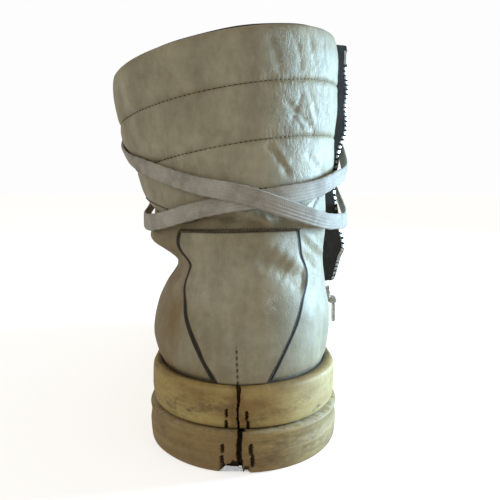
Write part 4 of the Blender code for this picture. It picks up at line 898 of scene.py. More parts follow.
def make_outsole(finish):
    side = ((0.00, 0.0022), (0.05, 0.0010), (0.12, 0.0005), (0.30, 0.0001), (0.50, -0.0002), (0.70, 0.0002),
            (0.86, 0.0), (0.915, -0.0004), (0.965, -0.0004), (0.99, 0.0003), (1.00, 0.0014))
    turns, shares, wall, dirt_and_shade = sole_band(side, 0.0, OUTSOLE_HEIGHT, 1.0, True)
    marks = sole_marks(wall, shares, dirt_and_shade, True)
    count = len(turns) // 2
    lateral, medial = wall[0, count::-1], wall[0, count:]  # from the heel to the toe on each side
    ys = SOLE_LENGTH * (1 - np.cos(np.pi * turns[count:])) / 2
    rim = sole_outline(np.linspace(0.001, 0.999, 400), np.full(400, -LUG_RIM))
    inner = np.interp(ys, rim[:, 1], rim[:, 0], left=0, right=0)
    inner *= (ys > rim[:, 1].min()) & (ys < rim[:, 1].max())
    in_groove = np.zeros(len(ys))
    for y in GROOVES:
        near = 1 - ease(np.abs(ys - y), LUG_GROOVE / 2 - 1e-5, LUG_GROOVE / 2 + 0.0003)
        in_groove = np.maximum(in_groove, near)
    middle = (lateral + medial) / 2
    rows, half_side = [lateral], np.array([1.0, 0.98, 0.66, 0.64, 0.62, 0.60, 0.22, 0.20, 0.18, 0.16, 0.0])
    for share in (*-half_side, *half_side[-2::-1]):
        deep = np.where(abs(share) < 1, in_groove * LUG_DEPTH, 0) * (inner > 0.004)
        if round(abs(share), 2) in (0.20, 0.62, 0.64):
            deep = np.maximum(deep, 0.0012 * (inner > 0.012))
        rows.append(middle * (0, 1, 1) + np.stack([middle[:, 0] + share * inner, 0 * inner, deep], -1))
    bottom = np.stack([*rows, medial], 0)
    top = np.stack([wall[-1, count::-1], wall[-1, count:]], 0)
    parts = [grid_part(wall, False), grid_part(bottom, False), grid_part(top, True)]
    under = no_marks(bottom.shape[:2])
    under[..., 1] = 0.35
    all_marks = [marks.reshape(-1, 4), under.reshape(-1, 4), no_marks(top.shape[:2]).reshape(-1, 4)]
    return skin_mesh("outsole_rubber", parts, all_marks, [finish], ("outsole",))


def skin_mesh(name, parts, marks, finishes, nodes, sharp=38):
    """A closed piece welded from grids that share their edges."""
    points = np.concatenate([p for p, _ in parts])
    starts = np.cumsum([0] + [len(p) for p, _ in parts])
    faces = np.concatenate([f + s for (_, f), s in zip(parts, starts)])
    marks = np.clip(np.concatenate(marks), 0, 1)
    keep, index = welded(points)
    whole = [list(dict.fromkeys(f)) for f in index[faces].tolist()]
    mesh = bpy.data.meshes.new(name)
    mesh.from_pydata(points[keep].tolist(), [], [f for f in whole if len(f) > 2])
    add_marks(mesh, marks[keep])
    return finished(name, mesh, finishes, nodes, "shoe", sharp)


def make_midsole(finish):
    side = ((0.00, 0.0034), (0.04, 0.0022), (0.12, 0.0013), (0.40, 0.0006), (0.75, 0.0006), (0.90, 0.0008),
            (0.96, 0.0013), (1.00, 0.0026))
    bottom = OUTSOLE_HEIGHT + CLEARANCE
    turns, shares, wall, dirt_and_shade = sole_band(side, bottom, SOLE_HEIGHT, 0.0, False)
    marks = sole_marks(wall, shares, dirt_and_shade, False)
    level_steps = (SOLE_HEIGHT, SOLE_HEIGHT - 0.0025, FOOTBED_FLOOR)
    cup = np.stack([skin(turns, z, CLEARANCE) for z in level_steps], 0)
    count = len(turns) // 2
    floor = np.stack([cup[-1, count::-1], cup[-1, count:]], 0)
    base = np.stack([wall[0, count::-1], wall[0, count:]], 0)
    lip = np.concatenate([wall[-1:], cup], 0)
    parts = [grid_part(wall, False), grid_part(lip, False), grid_part(floor, True), grid_part(base, False)]
    lip_marks = no_marks(lip.shape[:2])
    # painted shade: the rim's inner face, in the gap under the upper, is darkened
    lip_marks[1:, :, 0] = 0.9
    lip_marks[..., 1] = 0.8
    rest = [no_marks(floor.shape[:2]).reshape(-1, 4), no_marks(base.shape[:2]).reshape(-1, 4)]
    return skin_mesh("midsole_rubber", parts, [marks.reshape(-1, 4), lip_marks.reshape(-1, 4), *rest],
                     [finish], ("midsole",))


# Upper


def shell_columns(level):
    lateral, medial = -abs(float(throat_turn(level, -1.0))), float(throat_turn(level, 1.0))
    rear, fore = float(zip_turn(level, -1.0)), float(zip_turn(level, 1.0))
    return np.linspace(lateral, 0.0, 130), np.linspace(0.0, rear, 52), np.linspace(fore, medial, 74)


def overlay_edge(turns, levels):
    """Signed distance in metres behind the toe cap's edge, and above the vamp's side panel edge."""
    place = bare_skin(turns, levels)
    width = np.abs(place[..., 0] - 0.004) / 0.05
    cap = place[..., 1] - (0.196 - 0.022 * width**2)
    y, z = place[..., 1], place[..., 2]
    quarter = (y - 0.118) * 0.62 - (z - 0.062) * 0.80 + 0.008 * np.sin(z * 60)
    return cap, quarter


def shell_out(turns, levels):
    """The shell's own relief and marks: toe cap, side panels, creases and stains, painted shade in hollows,
    along the sole and on the left side, and a painted highlight on the lit lower right.
    """
    cap, quarter = overlay_edge(turns, levels)
    place = bare_skin(turns, levels)
    out = 0.0008 * ease(cap, -0.0010, 0.0010) + 0.0008 * (1 - ease(quarter, -0.0010, 0.0010))
    out = out + pressed(turns, levels, QUARTER_CREASES)
    out = out + 0.00035 * lumps(place, 0.030, 5) + 0.00016 * lumps(place, 0.011, 6)
    marks = no_marks(turns.shape)
    # painted shadow: a dark line where the upper meets the sole's rim
    by_sole = 1 - ease(levels, SOLE_HEIGHT + 0.0003, SOLE_HEIGHT + 0.0016)
    left_seam = line_gap(place, ((-0.420, 117.0), (-0.390, 114.0), (-0.340, 109.0), (-0.286, 105.0)), 0.0007)
    right_seam = line_gap(place, ((0.400, 114.0), (0.384, 112.5), (0.300, 109.8), (0.250, 105.5)), 0.0007)
    marks[..., 0] = np.maximum.reduce([0.9 * by_sole, left_seam, right_seam])
    low = 1 - ease(levels, SOLE_HEIGHT, SOLE_HEIGHT + 0.012)
    # painted shade in the hollows above the counter and on the left quarter
    hollow_shade = spots_on(place, ((-0.14, 102.5, 7, 1.0), (-0.10, 103.0, 6, 0.95), (-0.05, 103.5, 5, 0.75),
                              (0.05, 100.6, 4, 0.6), (-0.235, 90.0, 7, 0.7), (-0.29, 94.0, 7, 0.6),
                              (-0.18, 100.0, 5, 0.5), (0.02, 100.6, 5, 0.5)))
    # painted shade: the left side darker below the collar
    left = ease(-turns, 0.10, 0.20) * (1 - ease(levels, 0.092, 0.108)) * 0.50
    marks[..., 1] = np.maximum.reduce([0.40 * low, hollow_shade, left]) + 0.10
    bends = spots_on(place, ((0.25, 88.0, 15, 0.9), (0.30, 98.0, 13, 0.9), (0.20, 80.0, 10, 0.6),
                             (-0.24, 92.0, 10, 0.8), (-0.4, 88.0, 16, 0.5), (0.05, 105.0, 10, 0.7)))
    toes = ease(np.abs(turns), 0.66, 0.76) * (1 - ease(cap, -0.02, 0.0)) * 0.8
    marks[..., 2] = np.maximum(bends, toes * ease(levels, 0.045, 0.06))
    # painted highlight on the lit lower right quarter; pale scuffs at the toe
    marks[..., 3] = spots_on(place, ((0.28, 62.0, 12, 0.5), (1.0, 40.0, 16, 0.7), (-0.95, 46.0, 12, 0.6)))
    return out, marks


def line_gap(place, path, width):
    away, _ = near_line(place.reshape(-1, 3), line_on(path))
    return np.exp(-((away.reshape(place.shape[:-1]) / width) ** 2))


def spots_on(place, table):
    """The strongest of some round spots at (turn, level in mm), with their sizes in mm."""
    marks = np.zeros(place.shape[:-1])
    for turn, level, size, strength in table:
        middle = bare_skin(np.array(turn), np.array(level / 1000))
        away = ((place - middle) ** 2).sum(-1) / (size / 1000) ** 2
        marks = np.maximum(marks, strength * np.exp(-away))
    return marks


def trace(which, side, inset):
    """A line over the shell along the toe cap's edge (0) or the side panel's edge (1), inset from it."""
    sign = 1.0 if which == 0 else -1.0
    levels = np.linspace(SOLE_HEIGHT + 0.002, 0.086, 300)
    turns = side * np.linspace(0.42, 1.0, 500)
    grid = np.broadcast_arrays(turns[None], levels[:, None])
    away = overlay_edge(*grid)[which] - sign * inset
    crossed = [(row, level) for row, level in zip(away, levels) if row[0] < 0 < row[-1]]
    found = [(float(np.interp(0, row, turns)), level) for row, level in crossed]
    places = np.array(found)
    line, normals = lined(places[:, 0], places[:, 1], 0.0)
    out = shell_out(places[:, 0], places[:, 1])[0]
    return line + normals * out[:, None], normals


def make_overlay_edges(dark):
    parts = []
    for side in (-1.0, 1.0):
        for which in (0, 1):
            line, normals = trace(which, side, -0.0009)
            parts.append(tube(walk(line + normals * 0.0001, 0.0012), 0.00034, 6))
            for inset in (0.0016, 0.0040):
                SEWN.append(trace(which, side, inset))
    loose("overlay_raw_edge", parts, [dark], ())


def make_shell(finishes):
    fine = np.linspace(SOLE_HEIGHT - 0.003, COLLAR_HEIGHT, 118)
    slot = ZIP_BOTTOM_LEVEL + np.array([-0.0004, 0.0, 0.0002, 0.0006, 0.0013, 0.0024, 0.0038])
    throat = THROAT_LEVEL + THROAT_ROUND * np.array([-0.03, 0.0, 0.004, 0.016, 0.04, 0.08, 0.14])
    levels = np.unique(np.concatenate([[FOOTBED_FLOOR + CLEARANCE, 0.028], fine, slot, throat]))
    sheets = []
    for part in range(3):
        turns = np.stack([shell_columns(level)[part] for level in levels])
        heights = np.broadcast_to(levels[:, None], turns.shape)
        out, marks = shell_out(turns, heights)
        fade = ease(heights, SOLE_HEIGHT + 0.0005, SOLE_HEIGHT + 0.004)
        # painted shade: the left quarter darkened below the collar
        soiling_and_shade = 0.95 * ease(-turns, 0.10, 0.16) * (1 - ease(-turns, 0.34, 0.46))
        soiling_and_shade = soiling_and_shade * (1 - ease(heights, 0.085, 0.105))
        marks[..., 1] = np.maximum(marks[..., 1], soiling_and_shade)
        covered = ease(heights, 0.112, 0.122)
        out = out * fade * (1 - covered)
        outer, inner = skin(turns, heights, out), skin(turns, heights, np.minimum(out, 0) - WALL)
        sheets.append(Sheet(outer, inner, marks))
    return piece("upper_shell", sheets, finishes, ("upper",))


def cuff_bottom(turn):
    knots = (-1.0, -0.56, -0.385, -0.27, -0.19, -0.15, -0.08, 0.0, 0.06, 0.12, 0.20, 0.25, 0.385, 0.56, 1.0)
    heights = (125.8, 112.3, 113.5, 106.7, 102.4, 102.2, 106.2, 109.8, 110.6, 109.6, 106.6, 109.4, 113.5,
               112.3, 125.8)
    return smooth(knots, np.array(heights) / 1000, turn)


def cuff_spots(start, end, a, b):
    level = CUFF_BOTTOM_BACK + (COLLAR_HEIGHT - CUFF_BOTTOM_BACK) * b
    for _ in range(4):
        turn = start(level) + (end(level) - start(level)) * a
        level = CUFF_BOTTOM_BACK + (COLLAR_HEIGHT - CUFF_BOTTOM_BACK) * b
        low = np.clip((CUFF_SEAMS[0] - level) / (CUFF_SEAMS[0] - CUFF_BOTTOM_BACK), 0, 1)
        level = level + low * (cuff_bottom(turn) - CUFF_BOTTOM_BACK)
    return turn, level


def cuff_rows():
    """Shares of the collar's height, closer together at its seams and edges."""
    levels = (CUFF_BOTTOM_BACK, *CUFF_SEAMS, COLLAR_HEIGHT)
    edges = [(z - CUFF_BOTTOM_BACK) / CUFF_REACH for z in levels]
    rows = [np.array([0.0])]
    for low, high in zip(edges, edges[1:]):
        share = np.linspace(0, 1, 34)[1:]
        share = 0.7 * share + 0.3 * (1 - np.cos(np.pi * share)) / 2
        rows.append(low + (high - low) * share)
    return np.concatenate(rows), edges


def make_cuff(name, start, end, columns, length, node, finishes):
    rows, edges = cuff_rows()
    a, b = np.meshgrid(np.linspace(0, 1, columns), rows)
    turns, levels = cuff_spots(start, end, a, b)
    place = bare_skin(turns, levels)
    swell, seam_gap = np.zeros(a.shape), np.full(a.shape, 1.0)
    for low, high in zip(edges, edges[1:]):
        share = np.clip((b - low) / (high - low), 0, 1)
        swell = np.maximum(swell, np.maximum(np.sin(np.pi * share), 0) ** 0.42)
    for edge in edges[1:-1]:
        seam_gap = np.minimum(seam_gap, np.abs(b - edge) * CUFF_REACH)
    top_gap, low_gap = (1 - b) * CUFF_REACH, b * CUFF_REACH
    end_gap = np.minimum(a, 1 - a) * length
    inside = ease(np.minimum(top_gap, low_gap), 0.004, 0.012)
    shallow = CUFF_EDGE + 0.0014 * ease(seam_gap, 0.012, 0.0) * inside
    puff = shallow + (CUFF_PUFF - shallow) * swell * ease(end_gap, 0.0, 0.009)
    pucker = np.sin(a * length / 0.0026 * 2 * np.pi) * 0.00010 + 0.00022 * lumps(place, 0.0075, 31)
    puff = puff + pucker * np.exp(-((seam_gap / 0.0032) ** 2)) + pressed(turns, levels, COLLAR_CREASES)
    lumpy = 0.00020 * lumps(place, 0.034, 8) + 0.00006 * lumps(place, 0.012, 9)
    puff = puff + lumpy * ease(seam_gap, 0, 0.004)
    puff = puff - 0.0003 * np.exp(-((seam_gap / 0.0009) ** 2))
    for path in (WRAP_OVER, WRAP_UNDER):
        lace = line_on([(turn, level * 1000) for turn, level, _ in path], 60)
        away, _ = near_line(place.reshape(-1, 3), lace)
        puff = puff - 0.0007 * np.exp(-((away.reshape(puff.shape) / 0.0042) ** 2))
    edge = np.minimum.reduce([top_gap * 1.4, low_gap * 1.5, end_gap])
    puff = 0.0005 + (np.maximum(puff, 0.0012) - 0.0005) * rolled(edge, 0.0022)
    marks = no_marks(a.shape)
    foot, tips = 1 - ease(low_gap, 0.0003, 0.0010), 1 - ease(end_gap, 0.0002, 0.0008)
    marks[..., 0] = np.maximum(0.95 * foot, 0.7 * tips)
    uneven = 0.5 + 0.5 * lumps(place, 0.022, 12)
    rim, seam = 1 - ease(top_gap, 0.0, 0.0055), np.exp(-((seam_gap / 0.0018) ** 2))
    stains_and_shade = spots_on(place, ((-0.33, 157.0, 9, 0.5), (-0.42, 170.0, 14, 0.30), (0.40, 176.0, 8, 0.5)))
    marks[..., 1] = np.maximum(0.60 * rim * uneven + 0.30 * seam * uneven, stains_and_shade)
    worn = ease(turns, 0.06, 0.17) * (1 - ease(turns, 0.50, 0.65))
    left = ease(-turns, 0.34, 0.50) * 0.35
    marks[..., 2] = np.maximum(worn * (0.55 + 0.45 * uneven), left)
    marks[..., 3] = spots_on(place, ((0.17, 141.0, 4, 0.35), (0.22, 137.0, 4, 0.3)))
    outer = skin(turns, levels, PANEL_GAP + puff)
    inner = skin(turns, levels, PANEL_GAP)
    made = piece(name, [Sheet(outer, inner, marks)], finishes, (node,))
    across = np.linspace(columns * 0.012, columns * 0.982, 500)
    for row in (np.argmin(np.abs(rows - edges[1])), np.argmin(np.abs(rows - edges[2]))):
        SEWN.append(sewn(outer, np.full(500, float(row)), across))
    SEWN.append(sewn(outer, np.full(500, 7.0), across))
    return made


def make_cuffs(finish):
    margin = 0.0012
    make_cuff("collar_rear_pad", lambda z: throat_turn(z, -1.0, EYESTAY_WIDTH + margin),
              lambda z: zip_turn(z, -1.0, margin), 330, 0.26, "collar_rear", [finish])
    make_cuff("collar_front_pad", lambda z: zip_turn(z, 1.0, margin),
              lambda z: throat_turn(z, 1.0, EYESTAY_WIDTH + margin), 60, 0.035, "collar_front", [finish])


def counter_half(share):
    """Half the counter's width, as a turn, at shares of its height."""
    return smooth((0, 0.25, 0.5, 0.7, 0.85, 1.0), (0.052, 0.090, 0.138, 0.180, 0.168, 0.172), share)


def make_counter(finish, dark, cord):
    a, b = np.meshgrid(np.linspace(0, 1, 150), np.linspace(0, 1, 130))
    levels = SOLE_HEIGHT + CLEARANCE + (COUNTER_TOP - SOLE_HEIGHT - CLEARANCE) * b
    half = counter_half(b)
    turns = half * (2 * a - 1)
    place = bare_skin(turns, levels)
    step = bare_skin(turns + 0.002, levels) - bare_skin(turns - 0.002, levels)
    per_turn = np.linalg.norm(step, axis=-1) / 0.004
    side_gap = (half - np.abs(turns)) * per_turn
    top_gap, low_gap = COUNTER_TOP - levels, levels - SOLE_HEIGHT
    corner = np.minimum(side_gap, top_gap)
    creases = pressed(turns, levels, COUNTER_CREASES) * ease(corner, 0, 0.003)
    out = PANEL_THICKNESS * (0.45 + 0.55 * rolled(corner, 0.0009)) + creases
    out = out + 0.00025 * lumps(place, 0.030, 15) + 0.00010 * lumps(place, 0.010, 16)
    slit = line_gap(place, ((-0.010, 52.0), (-0.009, 45.0), (-0.008, 36.4)), 0.00042)
    slit = slit * (0.55 + 0.45 * np.sin(levels * 2 * np.pi / 0.0026))
    out = np.maximum(out - 0.0009 * slit, 0.0003)
    marks = no_marks(a.shape)
    wide = 0.00150 + 0.0003 * lumps(place, 0.012, 17)
    marks[..., 0] = np.maximum.reduce([
        1 - ease(side_gap, wide * 0.7, wide * 1.2), 1 - ease(top_gap, 0.0002, 0.0007),
        0.95 * slit * ease(0.053 - levels, 0, 0.002), 1 - ease(low_gap, 0.0004, 0.0012)])
    uneven = 0.5 + 0.5 * lumps(place, 0.020, 18)
    foot, sides = 1 - ease(low_gap, 0.0, 0.010), 1 - ease(side_gap, 0.0005, 0.004)
    # painted shade in the hollows of the counter's creases
    stains_and_shade = spots_on(place, ((0.12, 83.0, 6, 0.35), (-0.02, 86.0, 2.0, 0.45), (-0.05, 50.0, 8, 0.3)))
    marks[..., 1] = np.maximum(0.18 * uneven + 0.30 * foot + 0.35 * sides * uneven, stains_and_shade)
    marks[..., 2] = spots_on(place, ((0.12, 82.0, 10, 0.35), (0.15, 93.0, 8, 0.5), (0.05, 70.0, 9, 0.2)))
    rubbed = spots_on(place, ((0.056, 69.5, 2.2, 0.9), (0.062, 67.0, 1.8, 0.8), (0.050, 65.5, 1.5, 0.7),
                              (0.07, 71.0, 1.5, 0.7)))
    # rubbed pale spots, and a painted highlight paling the counter's lit right side
    marks[..., 3] = np.maximum(rubbed, 0.45 * ease(turns, 0.05, 0.13) * uneven)
    outer, inner = skin(turns, levels, PANEL_GAP + out), skin(turns, levels, PANEL_GAP)
    piece("heel_counter_leather", [Sheet(outer, inner, marks)], [finish], ("heel_counter",))
    parts = []
    rows = np.linspace(0.02, 0.985, 90)
    for side in (-1, 1):
        level = SOLE_HEIGHT + CLEARANCE + (COUNTER_TOP - SOLE_HEIGHT) * rows
        edge = side * (counter_half(rows) + 0.0040)
        parts.append(tube(skin(edge, level, 0.0007), 0.00100, 8))
    loose("counter_raw_edge", parts, [dark], ())
    across = np.linspace(-0.170, 0.172, 400)
    line, normals = lined(across, COUNTER_TOP - 0.0002 + 0.0007 * np.cos(across * 9), 0.0019)
    even, parts = walk(line, 0.0015), []
    slant = np.array([0.00085, 0.0, 0.00062])  # a cord of slanted turns of thread over the raw edge
    steps = np.array([-1.0, -0.5, 0.0, 0.5, 1.0])[:, None]
    for spot, up in zip(even, spread(normals, len(even))):
        parts.append(tube(spot + steps * slant + (0.00025 - 0.0005 * steps**2) * up, 0.00036, 8))
    loose("counter_top_cord", parts, [cord], ())


def make_eyestays(finish):
    for node, side in (("eyestay_lateral", -1.0), ("eyestay_medial", 1.0)):
        b = np.concatenate([np.linspace(0, 0.2, 40), np.linspace(0.2, 1, 90)[1:]])
        a, b = np.meshgrid(np.linspace(0, 1, 26), b)
        levels = THROAT_LEVEL + 0.0026 + (COLLAR_HEIGHT - THROAT_LEVEL - 0.0026) * b
        edge = throat_turn(levels, side, 0.0006)
        turns = edge + (throat_turn(levels, side, EYESTAY_WIDTH) - edge) * a
        place = bare_skin(turns, levels)
        gap = np.minimum(np.minimum(a, 1 - a) * (EYESTAY_WIDTH - 0.0006), (1 - b) * 0.1)
        out = PANEL_THICKNESS * (0.4 + 0.6 * rolled(gap, 0.0009)) + 0.00012 * lumps(place, 0.012, 19)
        out = out - 0.00015 * (np.exp(-(((a - 0.14) / 0.03) ** 2)) + np.exp(-(((a - 0.86) / 0.03) ** 2)))
        marks = no_marks(a.shape)
        marks[..., 0] = 0.9 * (1 - ease(gap, 0.0002, 0.0006))
        marks[..., 1] = 0.2 + 0.2 * lumps(place, 0.02, 20)
        outer, inner = skin(turns, levels, PANEL_GAP + out), skin(turns, levels, PANEL_GAP)
        if side > 0:
            outer, inner, marks = outer[:, ::-1], inner[:, ::-1], marks[:, ::-1]
        piece(f"{node}_leather", [Sheet(outer, inner, marks)], [finish], (node,))
        rows = np.linspace(1.5, len(outer) - 3, 220)
        for column in (3.4, 21.6):
            SEWN.append(sewn(outer, rows, np.full(220, column)))


def front_skin(share, level, half, out):
    share, level = np.broadcast_arrays(np.asarray(share, float), np.asarray(level, float))
    medial = turn_at_width(np.abs(share) * half, level, 1.0)
    lateral = turn_at_width(np.abs(share) * half, level, -1.0)
    return skin(np.where(share >= 0, medial, lateral), level, out)


def make_tongue(finishes):
    low, high = np.linspace(THROAT_LEVEL - 0.006, ANKLE_HEIGHT, 45), np.linspace(0.102, TONGUE_TOP_LEVEL, 95)
    share, level = np.meshgrid(np.linspace(1, -1, 58), np.concatenate([low, high]))
    rise = np.clip((level - TONGUE_TOP_LEVEL + 0.022) / 0.022, 0, 1)
    low = np.clip((THROAT_LEVEL + 0.016 - level) / 0.022, 0, 1)
    half = TONGUE_HALF_WIDTH * np.sqrt(np.maximum(1 - 0.75 * rise**2, 0.05)) * (1 - 0.45 * low)
    edge = np.minimum((1 - np.abs(share)) * half, TONGUE_TOP_LEVEL - level)
    hem = np.exp(-(((edge - 0.0042) / 0.0008) ** 2))
    outside = -WALL - PANEL_GAP - 0.0006 - 0.0008 * hem * (level > 0.176)
    outside = outside - 0.0010 * (1 - rolled(edge, 0.0022))
    quilt = 0.0007 * np.exp(-(((level - 0.180) / 0.0012) ** 2)) + 0.0004 * (1 - np.cos(share * np.pi * 3)) / 2
    thick = TONGUE_THICKNESS * np.sqrt(np.maximum(1 - 0.72 * share**2, 0)) * (1 - 0.35 * rise)
    outer = front_skin(share, level, half, outside - quilt)
    inner = front_skin(share, level, half, -WALL - PANEL_GAP - 0.0006 - thick)
    marks = no_marks(share.shape)
    marks[..., 0] = 0.8 * (1 - ease(edge, 0.0003, 0.0009))
    marks[..., 1] = 0.35 * (1 - ease(TONGUE_TOP_LEVEL - level, 0, 0.012)) + 0.15
    marks[..., 2] = 0.35 * ease(level, 0.15, 0.19)
    made = piece("tongue_pad", [Sheet(outer, inner, marks)], finishes, ("tongue",))
    return made


def make_lining(finish):
    """A padded textile lining inside the shaft, its rolled edge just proud of the collar's top."""
    sheets = []
    for start, end, columns in (
        (lambda z: throat_turn(z, -1.0, 0.0130), lambda z: zip_turn(z, -1.0, 0.0085), 190),
        (lambda z: zip_turn(z, 1.0, 0.0085), lambda z: throat_turn(z, 1.0, 0.0130), 44),
    ):
        a, b = np.meshgrid(np.linspace(0, 1, columns), np.linspace(0, 1, 46))
        levels = 0.106 + (COLLAR_HEIGHT + 0.0005 - 0.106) * b
        turns = start(levels) + (end(levels) - start(levels)) * a
        place = bare_skin(turns, levels)
        thick = 0.0013 + 0.00025 * lumps(place, 0.02, 40)
        edge = np.minimum.reduce([(1 - b) * 0.074, b * 0.074, np.minimum(a, 1 - a) * 0.1])
        thick = 0.0003 + (thick - 0.0003) * rolled(edge, 0.0014)
        outer = skin(turns, levels, -WALL - 0.00035)
        inner = skin(turns, levels, -WALL - 0.00035 - thick)
        sheets.append(Sheet(outer, inner, no_marks(a.shape)))
    piece("shaft_lining", sheets, [finish], ())
    ends = throat_turn(COLLAR_HEIGHT, -1.0, 0.003), zip_turn(COLLAR_HEIGHT, -1.0, 0.003)
    turns = np.linspace(float(ends[0]), float(ends[1]), 120)
    height = -0.00025 + 0.00020 * np.sin(turns * 9 + 1) + 0.00012 * np.sin(turns * 31)
    roll = skin(turns, np.full(120, COLLAR_HEIGHT), np.full(120, -0.0004)) + height[:, None] * (0, 0, 1)
    loose("lining_edge", [tube(roll, 0.00085, 8)], [finish], ())


def make_insole(finish):
    turns = np.linspace(-1, 1, 161)
    low = FOOTBED_FLOOR + CLEARANCE
    rings = np.stack([skin(turns, low + s * INSOLE_THICKNESS, np.full(161, -WALL - CLEARANCE - q))
                      for s, q in ((0, 0.0), (0.7, 0.0), (0.92, 0.0005), (1.0, 0.0014))], 0)
    half = 80
    lateral, medial = rings[-1, half::-1], rings[-1, half:]
    share = np.linspace(0, 1, 31)[:, None, None]
    top = lateral[None] * (1 - share) + medial[None] * share
    dished = np.sin(np.pi * share[..., 0]) * 0.0007
    top[..., 2] -= dished * ease(np.minimum(np.arange(81), 80 - np.arange(81)) / 80, 0, 0.06)[None]
    floor = np.stack([rings[0, half::-1], rings[0, half:]], 0)
    parts = [grid_part(rings, False), grid_part(top, True), grid_part(floor, False)]
    plain = [np.zeros((len(points), 4)) for points, _ in parts]
    skin_mesh("footbed", parts, plain, [finish], ("insole",), 60)


def make_stitches(dull_thread, pale_thread, hole):
    """Dull thread on the back and left side, paler thread on the medial side, each in a dark disc of painted
    shade for its hole.
    """
    dark, pale = [], []
    for line, normals in SEWN:
        medial = line[:, 0] > MEDIAL_FROM
        runs = np.split(np.arange(len(line)), np.flatnonzero(np.diff(medial.astype(int))) + 1)
        for run in runs:
            if len(run) > 8:
                (pale if medial[run[0]] else dark).append((line[run], normals[run]))
    loose("stitching_dull", stitches(dark, radius=0.00024, length=0.0011), [dull_thread], ())
    loose("stitching_pale", stitches(pale, radius=0.00030, seed=4), [pale_thread], ())
    parts = []
    for line, normals in [*dark, *pale]:
        even = walk(line, STITCH_PITCH)
        for spot, up in zip(even, spread(normals, len(even))):
            # painted shade: a dark disc round each stitch hole, wider on the shaded back and left side
            radius = 0.00026 if spot[0] > MEDIAL_FROM else 0.00044
            parts.append(tube([spot - up * 0.0004, spot + up * 0.00010], radius, 6))
    loose("stitch_hole_shade", parts, [hole], ())


# Eyelets and laces


def eyelet_levels():
    levels = np.linspace(THROAT_LEVEL + 0.010, COLLAR_HEIGHT - 0.010, 60)
    line = skin(throat_turn(levels, 1.0, EYELET_LINE), levels, np.zeros(60))
    run = run_of(line)
    return np.interp(np.linspace(0, run[-1], EYELET_PAIRS), run, levels)


def eyelet_places(side):
    """Centres, outward normals and seats of one side's eyelets, as in the part's source."""
    level = eyelet_levels()
    turn = throat_turn(level, side, EYELET_LINE)
    face = np.full(EYELET_PAIRS, PANEL_GAP + PANEL_THICKNESS)
    middle = skin(turn, level, face)
    normals = skin(turn, level, face + 0.001) - middle
    normals /= np.linalg.norm(normals, axis=1, keepdims=True)
    per_turn = np.linalg.norm(skin(turn + 0.001, level, face) - middle, axis=1) / 0.001
    per_level = np.linalg.norm(skin(turn, level + 0.001, face) - middle, axis=1) / 0.001
    seat = np.zeros(EYELET_PAIRS)
    for angle in np.arange(8) * np.pi / 4:
        round_turn = turn + EYELET_RADIUS * np.cos(angle) / per_turn
        rim = skin(round_turn, level + EYELET_RADIUS * np.sin(angle) / per_level, face)
        seat = np.maximum(seat, ((rim - middle) * normals).sum(1))
    return middle + normals * (seat + CLEARANCE + EYELET_SEAT)[:, None], normals, seat


def make_eyelets(metal_finish, hole):
    height, outer, inner = EYELET_HEIGHT, EYELET_RADIUS, EYELET_HOLE
    profile = ((outer, -0.0002), (outer, 0.0002), (outer * 0.95, height * 0.7), (outer * 0.86, height * 0.96),
               (outer * 0.74, height), (inner * 1.12, height * 0.82), (inner, height * 0.3), (inner, -0.0020),
               (inner + 0.0003, -0.0020), (inner + 0.0003, -0.0002))
    holes = []
    for word, side in (("lateral", -1.0), ("medial", 1.0)):
        centres, normals, _ = eyelet_places(side)
        for i, (centre, normal) in enumerate(zip(centres, normals), 1):
            first = np.cross(normal, (0, 0, 1))
            first /= np.linalg.norm(first)
            second = np.cross(normal, first)
            angles = np.arange(40) * 2 * np.pi / 40
            rays = np.cos(angles)[:, None] * first + np.sin(angles)[:, None] * second
            points = [centre + radius * ray + rise * normal for ray in rays for radius, rise in profile]
            faces, count = [], len(profile)
            for j in range(40):
                k = (j + 1) % 40
                for p in range(count):
                    q = (p + 1) % count
                    faces.append((j * count + p, j * count + q, k * count + q, k * count + p))
            name = f"eyelet_{word}_{i}"
            loose(f"{name}_ring", [(points, faces)], [metal_finish], (name,), sharp=60)
            # painted shade: a dark plug inside each eyelet's hole
            holes.append(tube([centre - normal * 0.0010, centre - normal * 0.0004], inner + 0.0002, 24))
    loose("eyelet_hole_shade", holes, [hole], ())


def ribbon(name, line, normals, widths, thickness, finish, nodes, stains_and_shade=None):
    """A flat woven lace along a line, thinner at its two edges."""
    ahead = unit(np.gradient(line, axis=0))
    normals = squared(normals, ahead)
    sideways = np.cross(ahead, normals)
    run = run_of(line)
    share = np.linspace(-1, 1, 23)
    thick = thickness / 2 * (0.30 + 0.70 * np.sqrt(1 - np.abs(share) ** 5))
    thick = thick + 0.00008 * np.cos(share * np.pi * 5)
    fray = 0.00010 * np.sin(run * 2 * np.pi / 0.0013)[:, None] * np.abs(share) ** 8
    across = share[None] * (np.broadcast_to(widths, run.shape) / 2)[:, None] + fray * share
    middle = line[:, None] + across[..., None] * sideways[:, None]
    lift = np.broadcast_to(thick, across.shape)[..., None] * normals[:, None]
    marks = no_marks(across.shape)
    marks[..., 1] = 0.25 if stains_and_shade is None else stains_and_shade[:, None]
    edge = np.abs(share)[None] ** 6
    marks[..., 0] = 0.15 * edge
    thread = [np.stack([np.broadcast_to(run[:, None], across.shape), across], -1)]
    sheets = [Sheet(middle + lift, middle - lift, marks)]
    return piece(name, sheets, [finish], nodes, thread=thread, sharp=70)


def straight_across(share, level, run, centre):
    half = np.abs(share) * (THROAT_HALF_WIDTH + EYELET_LINE)
    low, high = np.full(len(share), level - 0.004), np.full(len(share), level + 0.040)
    for _ in range(30):
        middle = (low + high) / 2
        turns = np.where(share >= 0, turn_at_width(half, middle, 1.0), turn_at_width(half, middle, -1.0))
        above = (bare_skin(turns, middle) - centre) @ run > 0
        low, high = np.where(above, low, middle), np.where(above, middle, high)
    return turns, middle


